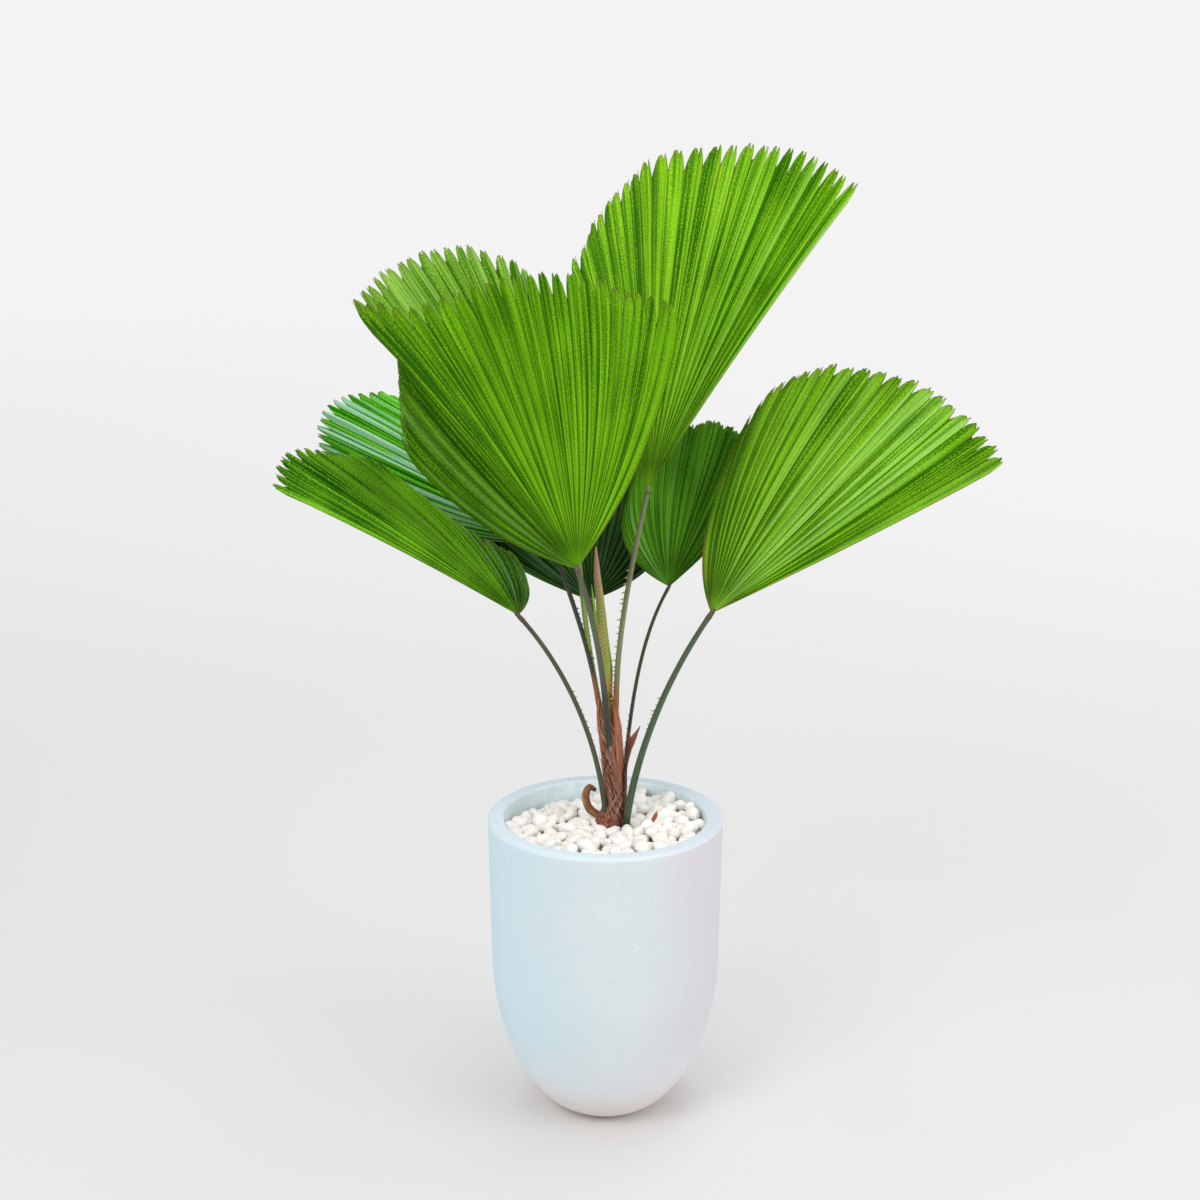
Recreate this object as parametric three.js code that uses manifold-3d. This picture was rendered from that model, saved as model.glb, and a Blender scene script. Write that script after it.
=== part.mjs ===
// A ruffled fan palm in a tall round-bottomed pot, with white pebbles over the soil.
// Millimetres and degrees, +Z up. The origin is the centre of the pot's flat underside.
// A heading is measured about Z from +X, and a rise is the angle above the horizontal.
import * as THREE from 'three';
import { mergeVertices } from 'three/addons/utils/BufferGeometryUtils.js';
import Module from 'manifold-3d';

const wasm = await Module();
wasm.setup();

// Driving dimensions
const CLEAR = 0.35;

const POT = {
  height: 523,
  rimRadius: 198,
  bodyRadius: 194,
  footRadius: 58,
  bowlHeight: 270,
  bowlFullness: 1.85,
  wall: 27,
  floor: 45,
  rimRounding: 6,
  sides: 40,
};

const SOIL_TOP = 487;

// The height at which a petiole stands that comes up beside the trunk, out of the soil
const SOIL_FOOT = SOIL_TOP + 2;

const PEBBLES = {
  count: 84,
  radius: 152,
  halfLength: [14, 17],
  widthShare: 0.85,
  heightShare: 0.72,
  seatDepth: 7,
  pile: 4,
  pileHeading: 40,
};

// The trunk's middle line and its radius, from the cut at soil level to the tip
const TRUNK = [
  { at: [12, 0, SOIL_TOP + CLEAR], radius: 26 },
  { at: [12, 0, 512], radius: 22 },
  { at: [15, 0, 548], radius: 16.5 },
  { at: [13.5, 0, 590], radius: 16 },
  { at: [11, 0, 635], radius: 17 },
  { at: [7, 0, 680], radius: 17 },
  { at: [5, 2, 712], radius: 13 },
  { at: [4, 3, 737], radius: 8 },
];

// The unopened leaf that stands on the trunk's tip
const SPEAR = [
  { at: [4, 3, 737 + CLEAR], radius: 7 },
  { at: [4, 5, 770], radius: 7 },
  { at: [-2, 6, 820], radius: 8 },
  { at: [-10, 6, 890], radius: 8.5 },
  { at: [-16, 6, 981], radius: 4 },
];

// A dry sheath that stands off the trunk's right side, and one that curls at its foot
const DRY_SHEATH = [
  { at: [33, 9, 564], radius: 4 },
  { at: [36, 11, 600], radius: 5 },
  { at: [42, 12, 640], radius: 6 },
  { at: [58, 10, 675], radius: 2 },
];
const CURLED_SHEATH = [
  { at: [-3, 3, 517], radius: 5 },
  { at: [-27, 0, 535], radius: 5 },
  { at: [-33, -4, 556], radius: 4.5 },
  { at: [-27, -4, 572], radius: 4 },
  { at: [-16, -2, 568], radius: 3 },
];

// Each blade is a fan of ribs [heading, rise, length], spaced evenly across its segments.
// Bow curves its two edges sideways, the more sharply the higher its third number, and arch lifts
// its middle, all as shares of the ribs' length.
// A petiole leaves the trunk at a foot [heading round the trunk, height] and arrives at the hastula.
const LEAVES = [
  {
    name: 'upper_right',
    hastula: [70, 50, 1068],
    segments: 25,
    bow: [-0.011, 0.05, 3],
    arch: 0.02,
    ribs: [[11.3, 54.3, 604], [17, 63, 603], [36, 71, 588], [86, 72, 562], [105, 58, 541], [109, 42, 534]],
    petiole: { foot: [-40, 704], leave: [110, 87], arrive: [0, 78], radii: [5.2, 4.4] },
  },
  {
    name: 'front',
    hastula: [-45, -110, 970],
    segments: 34,
    bow: [0.15, 0.14, 5],
    arch: 0.02,
    ribs: [
      [18, 68, 435], [-40, 78, 445], [-104, 74, 480], [-128, 66, 490],
      [-147, 56, 496], [-173, 50.6, 526], [166, 48, 446], [153, 29, 365],
    ],
    petiole: { foot: [-103, 646], leave: [-117, 83], arrive: [-141, 68], radii: [5, 3.8] },
  },
  {
    name: 'upper_left',
    hastula: [-50, 80, 1030],
    segments: 17,
    bow: [0, 0.03, 3],
    arch: 0.02,
    ribs: [[164, 79, 401], [161, 64, 481], [165, 51, 511], [177, 43, 501]],
    petiole: { foot: [135, 692], leave: [131, 70], arrive: [110, 80], radii: [4.5, 4] },
  },
  {
    name: 'right',
    hastula: [165, -120, 901],
    segments: 24,
    bow: [0, 0.235, 3],
    arch: 0.02,
    ribs: [[-11, 29.3, 503], [-2, 40, 494], [12, 51, 474], [34, 60, 434], [60, 59, 389], [72, 53, 336]],
    petiole: { foot: [-46, SOIL_FOOT], leave: [-60, 81], arrive: [-40, 54], radii: [6.5, 4.5] },
  },
  {
    name: 'back_right',
    hastula: [110, 140, 885],
    segments: 18,
    bow: [0.02, 0.22, 3],
    arch: 0.02,
    ribs: [[7, 45, 225], [44, 55, 311], [73, 54, 327], [98, 50, 291], [119, 47, 202]],
    petiole: { foot: [20, 575], leave: [73, 68], arrive: [43, 48], radii: [4, 3.5] },
  },
  {
    name: 'lower_left',
    hastula: [-139, -80, 888],
    segments: 22,
    bow: [0, 0.15, 3],
    arch: 0.02,
    ribs: [
      [-161, 31, 442], [-167, 37, 449], [-178, 43, 392], [158, 43, 318], [122, 34, 188], [96, 24, 178],
    ],
    petiole: { foot: [-137, 534], leave: [-109, 77], arrive: [-158, 49], radii: [4.5, 4] },
  },
  {
    name: 'left',
    hastula: [-90, 110, 970],
    segments: 22,
    bow: [0.06, 0.05, 3],
    arch: 0.05,
    ribs: [[170, 8, 305], [169, 19, 430], [164, 27, 464], [153, 32, 437], [132, 29, 380]],
    petiole: { foot: [167, 704], leave: [125, 79], arrive: [141, 67], radii: [5, 4] },
  },
  {
    name: 'back',
    hastula: [-25, 120, 865],
    segments: 22,
    bow: [0.1, 0.1, 3],
    arch: 0.04,
    ribs: [[150, 23, 305], [120, 32, 410], [94, 31, 465], [76, 25, 410], [59, 15, 290]],
    petiole: { foot: [92, 640], leave: [91, 74], arrive: [122, 62], radii: [5, 4] },
  },
];

const BLADE = {
  thicknessShare: 1 / 95,
  innerRows: [0.03, 0.15, 0.36],
  fineRow: 0.66,
  columnsPerInnerColumn: 4,
  pleatShare: 0.2,
  notch: 34,
  tipShare: 0.3,
  hubRadius: 15,
  hubReach: 8,
};

// Colours, with roughness
const FINISHES = {
  pot: ['#d3e3ec', 0.75],
  pebbles: ['#f1eee6', 0.6],
  trunk: ['#8a4f3a', 0.95],
  petiole: ['#4d6b45', 0.6],
  blade: ['#4f9a1e', 0.45],
  spear: ['#a9a35a', 0.6],
  sheath: ['#6b3527', 0.95],
};

const point = (list) => new THREE.Vector3(...list);

function direction(heading, rise) {
  const h = THREE.MathUtils.degToRad(heading);
  const r = THREE.MathUtils.degToRad(rise);
  return new THREE.Vector3(Math.cos(r) * Math.cos(h), Math.cos(r) * Math.sin(h), Math.sin(r));
}

// Even steps through a list of points, on one smooth curve
const through = (points) => new THREE.CatmullRomCurve3(points, false, 'catmullrom', 0.5);

// Solids and meshes
function solidFrom(geometry) {
  const bare = geometry.clone();
  bare.deleteAttribute('normal');
  bare.deleteAttribute('uv');
  const merged = mergeVertices(bare, 1e-4);
  return new wasm.Manifold(new wasm.Mesh({
    numProp: 3,
    vertProperties: new Float32Array(merged.attributes.position.array),
    triVerts: new Uint32Array(merged.index.array),
  }));
}

function meshFrom(solid, name, [colour, roughness]) {
  const { vertProperties, triVerts } = solid.getMesh();
  const geometry = new THREE.BufferGeometry();
  geometry.setAttribute('position', new THREE.BufferAttribute(new Float32Array(vertProperties), 3));
  geometry.setIndex(new THREE.BufferAttribute(new Uint32Array(triVerts), 1));
  geometry.computeVertexNormals();
  const material = new THREE.MeshStandardMaterial({ color: colour, roughness, metalness: 0 });
  const mesh = new THREE.Mesh(geometry, material);
  mesh.name = name;
  return mesh;
}

// A closed round rod along a curve, with its radius given as a function of the way along it
function rod(curve, radiusAt, sides, steps) {
  const geometry = new THREE.CylinderGeometry(1, 1, 1, sides, steps);
  const frames = curve.computeFrenetFrames(steps, false);
  const position = geometry.attributes.position;
  for (let i = 0; i < position.count; i += 1) {
    const along = position.getY(i) + 0.5;
    const step = Math.round(along * steps);
    const radius = radiusAt(along);
    const place = curve.getPointAt(along)
      .addScaledVector(frames.normals[step], -position.getX(i) * radius)
      .addScaledVector(frames.binormals[step], position.getZ(i) * radius);
    position.setXYZ(i, place.x, place.y, place.z);
  }
  return solidFrom(geometry);
}

// A rod through stations that each give a place and a radius, grown all round by extra
function taperedRod(stations, sides, steps, extra = 0) {
  const curve = through(stations.map(({ at }) => point(at)));
  const radii = through(stations.map(({ radius }) => new THREE.Vector3(radius, 0, 0)));
  return rod(curve, (along) => radii.getPoint(curve.getUtoTmapping(along)).x + extra, sides, steps);
}

// Pot and filling
function bowlProfile(bottomRadius, bowlHeight, bodyRadius, topRadius, topHeight, bottomHeight) {
  const profile = [new THREE.Vector2(0, bottomHeight)];
  const steps = 9;
  for (let i = 0; i <= steps; i += 1) {
    const angle = (i / steps) * (Math.PI / 2);
    const out = Math.sin(angle) ** (2 / POT.bowlFullness);
    const up = 1 - Math.cos(angle) ** (2 / POT.bowlFullness);
    profile.push(new THREE.Vector2(
      bottomRadius + (bodyRadius - bottomRadius) * out,
      bottomHeight + (bowlHeight - bottomHeight) * up,
    ));
  }
  profile.push(new THREE.Vector2(topRadius, topHeight));
  return profile;
}

function insideProfile(gap, topHeight) {
  const slope = (POT.rimRadius - POT.bodyRadius) / (POT.height - POT.bowlHeight);
  const topRadius = POT.bodyRadius + slope * (topHeight - POT.bowlHeight) - POT.wall - gap;
  return bowlProfile(
    POT.footRadius - 8 - gap,
    POT.bowlHeight,
    POT.bodyRadius - POT.wall - gap,
    topRadius,
    topHeight,
    POT.floor + gap,
  );
}

// A profile that goes up from the axis and back to it, turned about Z
function turned(profile) {
  const geometry = new THREE.LatheGeometry(profile, POT.sides);
  geometry.rotateX(Math.PI / 2);
  return solidFrom(geometry);
}

function pot() {
  const round = POT.rimRounding;
  const outside = bowlProfile(
    POT.footRadius, POT.bowlHeight, POT.bodyRadius, POT.rimRadius, POT.height - round, 0,
  );
  outside.push(new THREE.Vector2(POT.rimRadius - round * 0.3, POT.height - round * 0.3));
  outside.push(new THREE.Vector2(POT.rimRadius - round, POT.height));
  const inside = insideProfile(0, POT.height - round / 2).reverse();
  const innerEdge = new THREE.Vector2(inside[0].x + round / 2, POT.height);
  return turned([...outside, innerEdge, ...inside]);
}

// A small repeatable random number source
function randomSource(seed) {
  let state = seed;
  return () => {
    state = (state * 1103515245 + 12345) % 2147483648;
    return state / 2147483648;
  };
}

function pebble(place, heading, halfLength) {
  const geometry = new THREE.IcosahedronGeometry(1, 0);
  geometry.scale(halfLength, halfLength * PEBBLES.widthShare, halfLength * PEBBLES.heightShare);
  geometry.rotateZ(heading);
  geometry.translate(...place);
  return solidFrom(geometry);
}

// Soil that fills the pot, with pebbles sunk a little into its top, clear of what stands in it
function pebbleBed(standing) {
  const profile = insideProfile(CLEAR, SOIL_TOP);
  profile.push(new THREE.Vector2(0, SOIL_TOP));
  let bed = turned(profile);
  const random = randomSource(7);
  const goldenAngle = Math.PI * (3 - Math.sqrt(5));
  const [shortest, longest] = PEBBLES.halfLength;
  const pileWay = direction(PEBBLES.pileHeading, 0);
  for (let k = 0; k < PEBBLES.count; k += 1) {
    const out = PEBBLES.radius * Math.sqrt((k + 0.5) / PEBBLES.count);
    const place = direction(THREE.MathUtils.radToDeg(k * goldenAngle), 0).multiplyScalar(out);
    const halfLength = shortest + (longest - shortest) * random();
    const heading = Math.PI * random();
    const isFree = standing.every(({ at, radius }) => (
      Math.hypot(place.x - at[0], place.y - at[1]) > radius + halfLength
    ));
    if (isFree) {
      const lift = PEBBLES.pile * Math.max(0, place.dot(pileWay) / PEBBLES.radius);
      const height = SOIL_TOP + halfLength * PEBBLES.heightShare - PEBBLES.seatDepth + lift * random();
      bed = bed.add(pebble([place.x, place.y, height], heading, halfLength));
    }
  }
  return bed;
}

// Where a leaf's surface lies: across goes 0 to 1 over the fan, along goes 0 to 1 up the ribs
function leafSurface({ hastula, ribs, bow, arch, segments }) {
  const ways = through(ribs.map(([heading, rise]) => direction(heading, rise)));
  const lengths = through(ribs.map(([, , length]) => new THREE.Vector3(length, 0, 0)));
  const step = 1e-3;
  return (across, along, lift = 0) => {
    const way = ways.getPoint(across).normalize();
    const length = lengths.getPoint(across).x;
    const before = ways.getPoint(Math.max(across - step, 0)).normalize();
    const after = ways.getPoint(Math.min(across + step, 1)).normalize();
    const span = Math.min(across + step, 1) - Math.max(across - step, 0);
    const turn = after.sub(before);
    const pitch = (turn.length() / span / segments) * length;
    const sideways = turn.addScaledVector(way, -turn.dot(way)).normalize();
    const normal = new THREE.Vector3().crossVectors(sideways, way).normalize();
    const swell = 4 * along * (1 - along) * length;
    const [first, last, power] = bow;
    const bend = last * across ** power - first * (1 - across) ** power;
    const place = point(hastula)
      .addScaledVector(way, along * length)
      .addScaledVector(sideways, bend * swell)
      .addScaledVector(normal, arch * swell + lift * pitch * along);
    return { place, normal, length };
  };
}

// The net of a blade: places [across, along, pleat] and the triangles between them
function bladeNet(segments, notchShare) {
  const places = [];
  const triangles = [];
  const add = (across, along, pleat) => places.push([across, along, pleat]) - 1;
  const columns = 2 * segments;
  const innerCount = Math.ceil(columns / BLADE.columnsPerInnerColumn);
  const innerColumn = (k) => Math.round((k * columns) / innerCount);

  const innerRows = BLADE.innerRows.map((along) => (
    Array.from({ length: innerCount + 1 }, (_, k) => add(innerColumn(k) / columns, along, 0))
  ));
  for (let r = 1; r < innerRows.length; r += 1) {
    for (let k = 0; k < innerCount; k += 1) {
      const [a, b] = [innerRows[r - 1][k], innerRows[r - 1][k + 1]];
      const [c, d] = [innerRows[r][k], innerRows[r][k + 1]];
      triangles.push([a, c, b], [b, c, d]);
    }
  }

  const fineRow = (along) => Array.from({ length: columns + 1 }, (_, j) => (
    add(j / columns, along(j), j % 2 === 1 ? 1 : -1)
  ));
  const middleRow = fineRow(() => BLADE.fineRow);
  const last = innerRows[innerRows.length - 1];
  for (let k = 0; k < innerCount; k += 1) {
    const middle = Math.floor((innerColumn(k) + innerColumn(k + 1)) / 2);
    for (let j = innerColumn(k); j < innerColumn(k + 1); j += 1) {
      const inner = j < middle ? last[k] : last[k + 1];
      triangles.push([inner, middleRow[j], middleRow[j + 1]]);
    }
    triangles.push([last[k], middleRow[middle], last[k + 1]]);
  }

  const rootRow = fineRow((j) => 1 - notchShare(j / columns));
  for (let j = 0; j < columns; j += 1) {
    triangles.push([middleRow[j], rootRow[j], middleRow[j + 1]]);
    triangles.push([middleRow[j + 1], rootRow[j], rootRow[j + 1]]);
  }

  // A tooth with a blunt tip ends each segment
  for (let s = 0; s < segments; s += 1) {
    const [left, ridge, right] = [rootRow[2 * s], rootRow[2 * s + 1], rootRow[2 * s + 2]];
    const tips = [0.5 - BLADE.tipShare / 2, 0.5 + BLADE.tipShare / 2]
      .map((share) => add((s + share) / segments, 1, 0.5));
    triangles.push([left, tips[0], ridge], [ridge, tips[0], tips[1]], [ridge, tips[1], right]);
  }
  return { places, triangles };
}

// Two layers of the net, half a thickness either side of the surface, closed round the edge
function bladeSolid(leaf) {
  const surface = leafSurface(leaf);
  const notchShare = (across) => BLADE.notch / surface(across, 1).length;
  const { places, triangles } = bladeNet(leaf.segments, notchShare);
  const half = (Math.max(...leaf.ribs.map((rib) => rib[2])) * BLADE.thicknessShare) / 2;
  const coordinates = [1, -1].flatMap((side) => places.flatMap(([across, along, pleat]) => {
    const { place, normal } = surface(across, along, pleat * BLADE.pleatShare);
    return place.addScaledVector(normal, side * half).toArray();
  }));

  const count = places.length;
  const edges = new Set();
  triangles.forEach(([a, b, c]) => {
    edges.add(`${a},${b}`).add(`${b},${c}`).add(`${c},${a}`);
  });
  const faces = [...triangles, ...triangles.map(([a, b, c]) => [c + count, b + count, a + count])];
  edges.forEach((edge) => {
    const [a, b] = edge.split(',').map(Number);
    if (!edges.has(`${b},${a}`)) {
      faces.push([b, a, a + count], [b, a + count, b + count]);
    }
  });
  const geometry = new THREE.BufferGeometry();
  geometry.setAttribute('position', new THREE.Float32BufferAttribute(coordinates, 3));
  geometry.setIndex(faces.flat());
  const solid = solidFrom(geometry);
  return solid.volume() > 0 ? solid : solidFrom(flipped(geometry));
}

function flipped(geometry) {
  const order = [];
  for (let i = 0; i < geometry.index.count; i += 3) {
    order.push(geometry.index.getX(i + 2), geometry.index.getX(i + 1), geometry.index.getX(i));
  }
  return geometry.clone().setIndex(order);
}

// The knob in which the ribs meet, grown all round by extra
function hub(leaf, extra = 0) {
  const way = new THREE.Vector3();
  leaf.ribs.forEach(([heading, rise]) => way.add(direction(heading, rise)));
  const centre = point(leaf.hastula).addScaledVector(way.normalize(), BLADE.hubReach);
  const geometry = new THREE.IcosahedronGeometry(BLADE.hubRadius + extra, 1);
  geometry.translate(centre.x, centre.y, centre.z);
  return solidFrom(geometry);
}

// A petiole bends from the trunk's side to its leaf's hastula, as one cubic curve
function petiole({ hastula, petiole: { foot, leave, arrive, radii } }, extra = 0) {
  const [heading, height] = foot;
  const trunk = trunkAt(height);
  const sink = 3;
  const start = trunk.place.addScaledVector(direction(heading, 0), trunk.radius + radii[0] - sink);
  const end = point(hastula);
  const pull = start.distanceTo(end) / 3;
  const curve = new THREE.CubicBezierCurve3(
    start,
    start.clone().addScaledVector(direction(...leave), pull),
    end.clone().addScaledVector(direction(...arrive), -pull),
    end,
  );
  return rod(curve, (along) => radii[0] + (radii[1] - radii[0]) * along + extra, 8, 12);
}

function trunkAt(height) {
  const upper = Math.max(1, TRUNK.findIndex(({ at }) => at[2] >= height));
  const [low, high] = [TRUNK[upper - 1], TRUNK[upper]];
  const share = (height - low.at[2]) / (high.at[2] - low.at[2]);
  return {
    place: point(low.at).lerp(point(high.at), share),
    radius: THREE.MathUtils.lerp(low.radius, high.radius, share),
  };
}

// Assembly
const palm = new THREE.Group();
const trunkSides = 12;
const trunkSteps = 12;
const trunk = taperedRod(TRUNK, trunkSides, trunkSteps);
const trunkRoom = taperedRod(TRUNK, trunkSides, trunkSteps, CLEAR);
const spear = taperedRod(SPEAR, 8, 8);
const spearRoom = taperedRod(SPEAR, 8, 8, CLEAR);

const standing = [
  { at: TRUNK[0].at, radius: TRUNK[0].radius },
  ...LEAVES.filter(({ petiole: { foot } }) => foot[1] === SOIL_FOOT).map(({ petiole: { foot, radii } }) => {
    const [heading] = foot;
    const [radius] = radii;
    const place = point(TRUNK[0].at).addScaledVector(direction(heading, 0), TRUNK[0].radius + radius);
    return { at: place.toArray(), radius };
  }),
];

palm.add(meshFrom(pot(), 'pot', FINISHES.pot));
palm.add(meshFrom(pebbleBed(standing), 'pebble_bed', FINISHES.pebbles));
palm.add(meshFrom(trunk, 'trunk', FINISHES.trunk));
palm.add(meshFrom(spear, 'spear_leaf', FINISHES.spear));

const roomTaken = [trunkRoom, spearRoom];
LEAVES.forEach((leaf) => {
  const stem = [...roomTaken, hub(leaf, CLEAR)].reduce((rest, room) => rest.subtract(room), petiole(leaf));
  roomTaken.push(petiole(leaf, CLEAR));
  palm.add(meshFrom(stem, `petiole_${leaf.name}`, FINISHES.petiole));
  palm.add(meshFrom(bladeSolid(leaf).add(hub(leaf)), `leaf_${leaf.name}`, FINISHES.blade));
});

[['dry_sheath', DRY_SHEATH], ['curled_sheath', CURLED_SHEATH]].forEach(([name, stations]) => {
  const sheath = roomTaken.reduce((rest, room) => rest.subtract(room), taperedRod(stations, 6, 8));
  palm.add(meshFrom(sheath, name, FINISHES.sheath));
});

export default palm;
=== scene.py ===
"""A potted ruffled fan palm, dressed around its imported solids.

Metres, +Z up, with the origin at the centre of the pot's flat underside. The tables are in
millimetres and degrees: a heading turns about Z from +X, and a rise is measured from level.
"""
import math

import bpy
import numpy as np
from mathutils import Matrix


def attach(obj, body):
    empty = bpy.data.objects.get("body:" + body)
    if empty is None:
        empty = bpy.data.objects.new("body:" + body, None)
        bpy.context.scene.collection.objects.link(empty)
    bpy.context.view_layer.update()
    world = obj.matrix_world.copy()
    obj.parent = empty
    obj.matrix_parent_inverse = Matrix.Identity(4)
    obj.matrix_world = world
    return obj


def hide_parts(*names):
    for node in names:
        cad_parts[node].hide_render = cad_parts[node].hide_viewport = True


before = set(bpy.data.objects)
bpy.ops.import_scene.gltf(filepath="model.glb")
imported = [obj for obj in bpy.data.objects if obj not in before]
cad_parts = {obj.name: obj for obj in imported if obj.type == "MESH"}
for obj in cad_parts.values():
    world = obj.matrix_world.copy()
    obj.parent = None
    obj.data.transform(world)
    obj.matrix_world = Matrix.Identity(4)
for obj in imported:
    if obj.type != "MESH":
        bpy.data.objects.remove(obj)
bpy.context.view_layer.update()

MM = 0.001
BODY = "root"

# The view: a lens tilted down a little, at standing height in front of the plant
CAMERA_PLACE = (-0.009, -2.57, 1.50)
CAMERA_TILT_DOWN = 13.27
FOCAL_PIXELS = 1616
FRAME_PIXELS = 1200
SENSOR = 36.0
BACKDROP = (243, 243, 243)

# The soft lights [place, width, power], which all face one point
LIGHTS = {
    "key": ((-3.4, -4.4, 5.4), 3.0, 190),
    "side": ((5.0, -3.0, 3.6), 3.5, 120),
    "top": ((0.3, 1.2, 6.5), 4.0, 150),
}
LIGHTS_FACE = (0.0, 0.0, 0.8)

# Fullness is the power of the bowl's curve, which is an ellipse at 2
POT = {
    "height": 523, "rim_radius": 198, "body_radius": 194, "foot_radius": 58, "foot_rounding": 4,
    "bowl_height": 270, "fullness": 1.85, "wall": 27, "floor": 45, "floor_inset": 8, "rim_rounding": 5,
    "around": 192,
}

# The pebbles fill the pot to a level, which falls away at the back left. Stones gives their least and
# greatest length, and each one rests as a ball whose radius is a share of its length. The right leaf's
# petiole comes up through the bed at stem [x, y, radius].
BED = {
    "level": 517, "fall": 24, "fall_heading": 125, "fall_run": (80, 165), "radius": 168, "depth": 40,
    "most": 400, "stones": (25, 37), "ball": 0.39, "top_layer": 13, "soil_below": 20, "stem": (33, -21, 7),
}

# The trunk's middle line [x, y, z] and radius, from the cut at soil level to the tip
TRUNK = [
    (12, 0, 487.35, 26), (12, 0, 512, 22), (15, 0, 548, 16.5), (13.5, 0, 590, 16),
    (11, 0, 635, 17), (7, 0, 680, 17), (5, 2, 712, 13), (4, 3, 737, 8),
]

# The leaf bases that wrap the trunk [heading, top height, turn on the way down, half width, rise],
# in the order of the numbers that their finish knows
LEAF_BASES = [
    (-6, 716, -34, 6, 3.0), (-95, 660, 6, 6, 2.6), (158, 712, 20, 7, 2.6),
    (92, 662, 0, 6, 2.4), (115, 704, -12, 6, 2.2), (20, 640, -16, 7, 3.0),
    (-140, 585, 10, 6, 2.6), (-168, 692, 62, 8, 2.4),
]

# How a leaf base turns, widens and sinks into the trunk on its way down, where the bark's relief ends
# near the tip, and the flare at the trunk's foot, which is largest at its heading
BARK = {
    "turn_run": 75, "widening": 0.09, "sink_run": 130, "relief_end": (745, 700),
    "flare_height": 514, "flare_spread": 15, "flare": 3.5, "flare_more": 6.0, "flare_heading": -155,
}

# The loose fibres: where they start, how long they are, how far they wind over each millimetre, in
# radians, how thick they are, and how far their ends stand off
FIBRES = {
    "count": 620, "steps": 12, "bottom": (494, 676), "length": (18, 60), "slant": (0.012, 0.034),
    "radius": (0.3, 0.62), "stand_off": 7,
}

# The unopened leaf on the trunk's tip [x, y, z, radius]
SPEAR = [
    (5, 2, 700, 6.5), (4, 4, 740, 7.5), (3, 5, 775, 8.4), (-3, 6, 825, 8.4), (-9, 6, 890, 7.0),
    (-14, 6, 940, 5.0), (-16, 6, 981, 1.4),
]

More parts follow.
